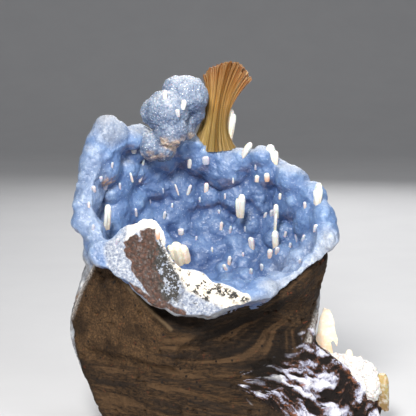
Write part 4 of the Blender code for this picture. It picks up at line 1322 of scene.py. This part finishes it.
def main():
    volumes = make_volumes()
    stone, crust, scoop = volumes
    lump_crust(crust)
    lump_rim(crust)
    crust.cut(crust.near(GRID_LOW, 999.0)[0], scoop)
    crust.keep_below(LIP_FACE_POINT, LIP_FACE_NORMAL)
    crust.keep_below((0, 0, 3), (0, 0, -1))
    _, (x, y, z) = crust.near(GRID_LOW, 999.0)
    zone = np.minimum(2.0 - (y + GRID_LOW[1]), x + GRID_LOW[0] - 2.0)
    crust.field = np.maximum(crust.field, np.minimum(zone, -right_cut(crust)).astype(np.float32))
    bowl = crust.mesh("chalcedony_bowl")
    coat = crust.mesh("chalcedony_coat")
    blue = chalcedony_look()
    for thing, is_bowl in ((bowl, True), (coat, False)):
        points, normals = points_of(thing), normals_of(thing)
        split = points[:, 1] - normals[:, 1] * 4 < SPLIT[0] + SPLIT[1] * (points[:, 2] - 60)
        keep_faces(thing, (split if is_bowl else ~split) & (stone.at(points) > -0.9))
        dress_crust(thing)
        settle_in(thing, blue, "blue_chalcedony", "chalcedony_crust")
    basalt = make_basalt(stone)
    keep_faces(basalt, crust.at(points_of(basalt)) > -0.9)
    settle_in(basalt, basalt_look(), "basalt", "basalt_matrix")

    knob = make_knob()
    stand = bulge_of(points_of(knob), normals_of(knob), edges_of(knob), 30)
    druse(knob, 1.1, 0.5, 23)
    # stand, up and fine darken the knob's recesses and lighten its tops in the material: painted shade and painted top
    # light.
    mark(knob, "stand", stand)
    mark(knob, "up", averaged(normals_of(knob)[:, 2], edges_of(knob), 8))
    mark(knob, "fine", bulge_of(points_of(knob), normals_of(knob), edges_of(knob), 5))
    across, down = view_of(points_of(knob))
    mark(knob, "under", ramp(-averaged(normals_of(knob)[:, 2], edges_of(knob), 25), 0.1, 0.5)
         * region(across, down, KNOB_UNDER, 5.0))
    settle_in(knob, knob_look(), "blue_chalcedony", "chalcedony_knob")

    gold = make_sheaf()
    settle_in(gold, stilbite_look(), "stilbite", "stilbite_sheaf")

    chance = random.Random(CRYSTAL_SEED)
    white = crystal_look("heulandite_crystal", 0.1, (246, 242, 234), (238, 212, 188))
    cream = crystal_look("cream_blades", 0.0, (250, 232, 206), (236, 206, 172), 0.35)
    honey = crystal_look("honey_crystal", 0.25, (196, 168, 104), (150, 118, 66), 0.2)
    for name, blades in CRYSTALS.items():
        parts = []
        for foot, tip, near, far, width, thick in blades:
            parts.append(stack("part", seen(*foot, near), seen(*tip, far), width, thick, 1, chance))
        piece = join(name + "_blades", parts)
        if name == "ledge_crystal":
            settle_in(piece, honey, "cream_crystal", name)
        elif name in CREAMY:
            settle_in(piece, cream, "cream_crystal", name)
        else:
            settle_in(piece, white, "heulandite", name)

    tablet = plate("tablet_plate", TABLET, 10.6, 13.6)
    settle_in(tablet, cream, "cream_crystal", "ledge_tablet")

    prisms = make_prisms([tree_of(thing) for thing in (bowl, coat, knob)])
    settle_in(prisms, prism_look(), "heulandite", "chalcedony_crust")

    snow = Volume((35, -16, 2), (62, 16, 32), FINE_STEP)
    for across, down, depth, *radii in DRUSE_LUMPS:
        snow.ellipsoid(seen(across, down, depth), radii, None, 1.0)
    snow = snow.mesh("ledge_druse_crystals")
    druse(snow, 1.9, 1.1, 25)
    settle_in(snow, druse_look(), "white_druse", "ledge_druse")


def light_area(name, place, target, size, power, colour=(1.0, 1.0, 1.0)):
    lamp = bpy.data.lights.new(name, "AREA")
    lamp.shape, lamp.size, lamp.energy, lamp.color = "DISK", size, power, colour
    thing = new_object(name, lamp)
    thing.location = place
    thing.rotation_euler = (Vector(target) - Vector(place)).to_track_quat("-Z", "Y").to_euler()


def make_stage():
    camera = bpy.data.cameras.new("camera")
    camera.lens, camera.sensor_width, camera.sensor_fit = LENS, SENSOR, "AUTO"
    thing = new_object("camera", camera)
    thing.location = EYE * MM
    thing.rotation_euler = (math.radians(90) - PITCH, 0.0, 0.0)
    bpy.context.scene.camera = thing

    shape = bmesh.new()
    path = [(-9.0, 0.0), (1.0, 0.0)]
    path += [(1.0 + 0.8 * math.sin(t / 8 * math.pi / 2), 0.8 - 0.8 * math.cos(t / 8 * math.pi / 2)) for t in range(1, 9)]
    path.append((1.8, 3.0))
    rows = [[shape.verts.new((x, y, z)) for x in (-12.0, 12.0)] for y, z in path]
    for low, high in zip(rows, rows[1:]):
        shape.faces.new((low[0], low[1], high[1], high[0])).smooth = True
    floor = from_bmesh("floor", shape)
    look = Graph("pale_floor", 0.7)
    look.colour(look.mix(look.noise(40.0), (196, 196, 198), (204, 204, 205)))
    wear(floor, look)

    world = bpy.data.worlds.new("studio")
    world.use_nodes = True
    world.node_tree.nodes["Background"].inputs["Color"].default_value = (0.78, 0.80, 0.84, 1.0)
    world.node_tree.nodes["Background"].inputs["Strength"].default_value = 0.22
    bpy.context.scene.world = world
    middle = (0.0, 0.0, 0.06)
    light_area("key", (-0.10, -0.50, 0.42), middle, 0.16, 5.6, (1.0, 0.98, 0.95))
    light_area("top", (0.12, 0.12, 0.70), middle, 0.4, 2.0)
    light_area("fill", (0.50, -0.50, 0.32), middle, 0.4, 2.0, (0.95, 0.97, 1.0))
    light_area("behind", (0.1, 0.6, 0.35), middle, 0.5, 1.6)
    bpy.context.scene.view_settings.view_transform = "Standard"


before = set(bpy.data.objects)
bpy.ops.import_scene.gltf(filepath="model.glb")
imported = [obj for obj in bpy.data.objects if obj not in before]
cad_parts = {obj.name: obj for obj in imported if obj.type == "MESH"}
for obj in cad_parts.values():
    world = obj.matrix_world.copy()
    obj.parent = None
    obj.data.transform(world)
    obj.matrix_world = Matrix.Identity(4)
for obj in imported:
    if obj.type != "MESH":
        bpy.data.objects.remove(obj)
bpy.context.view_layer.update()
main()
make_stage()
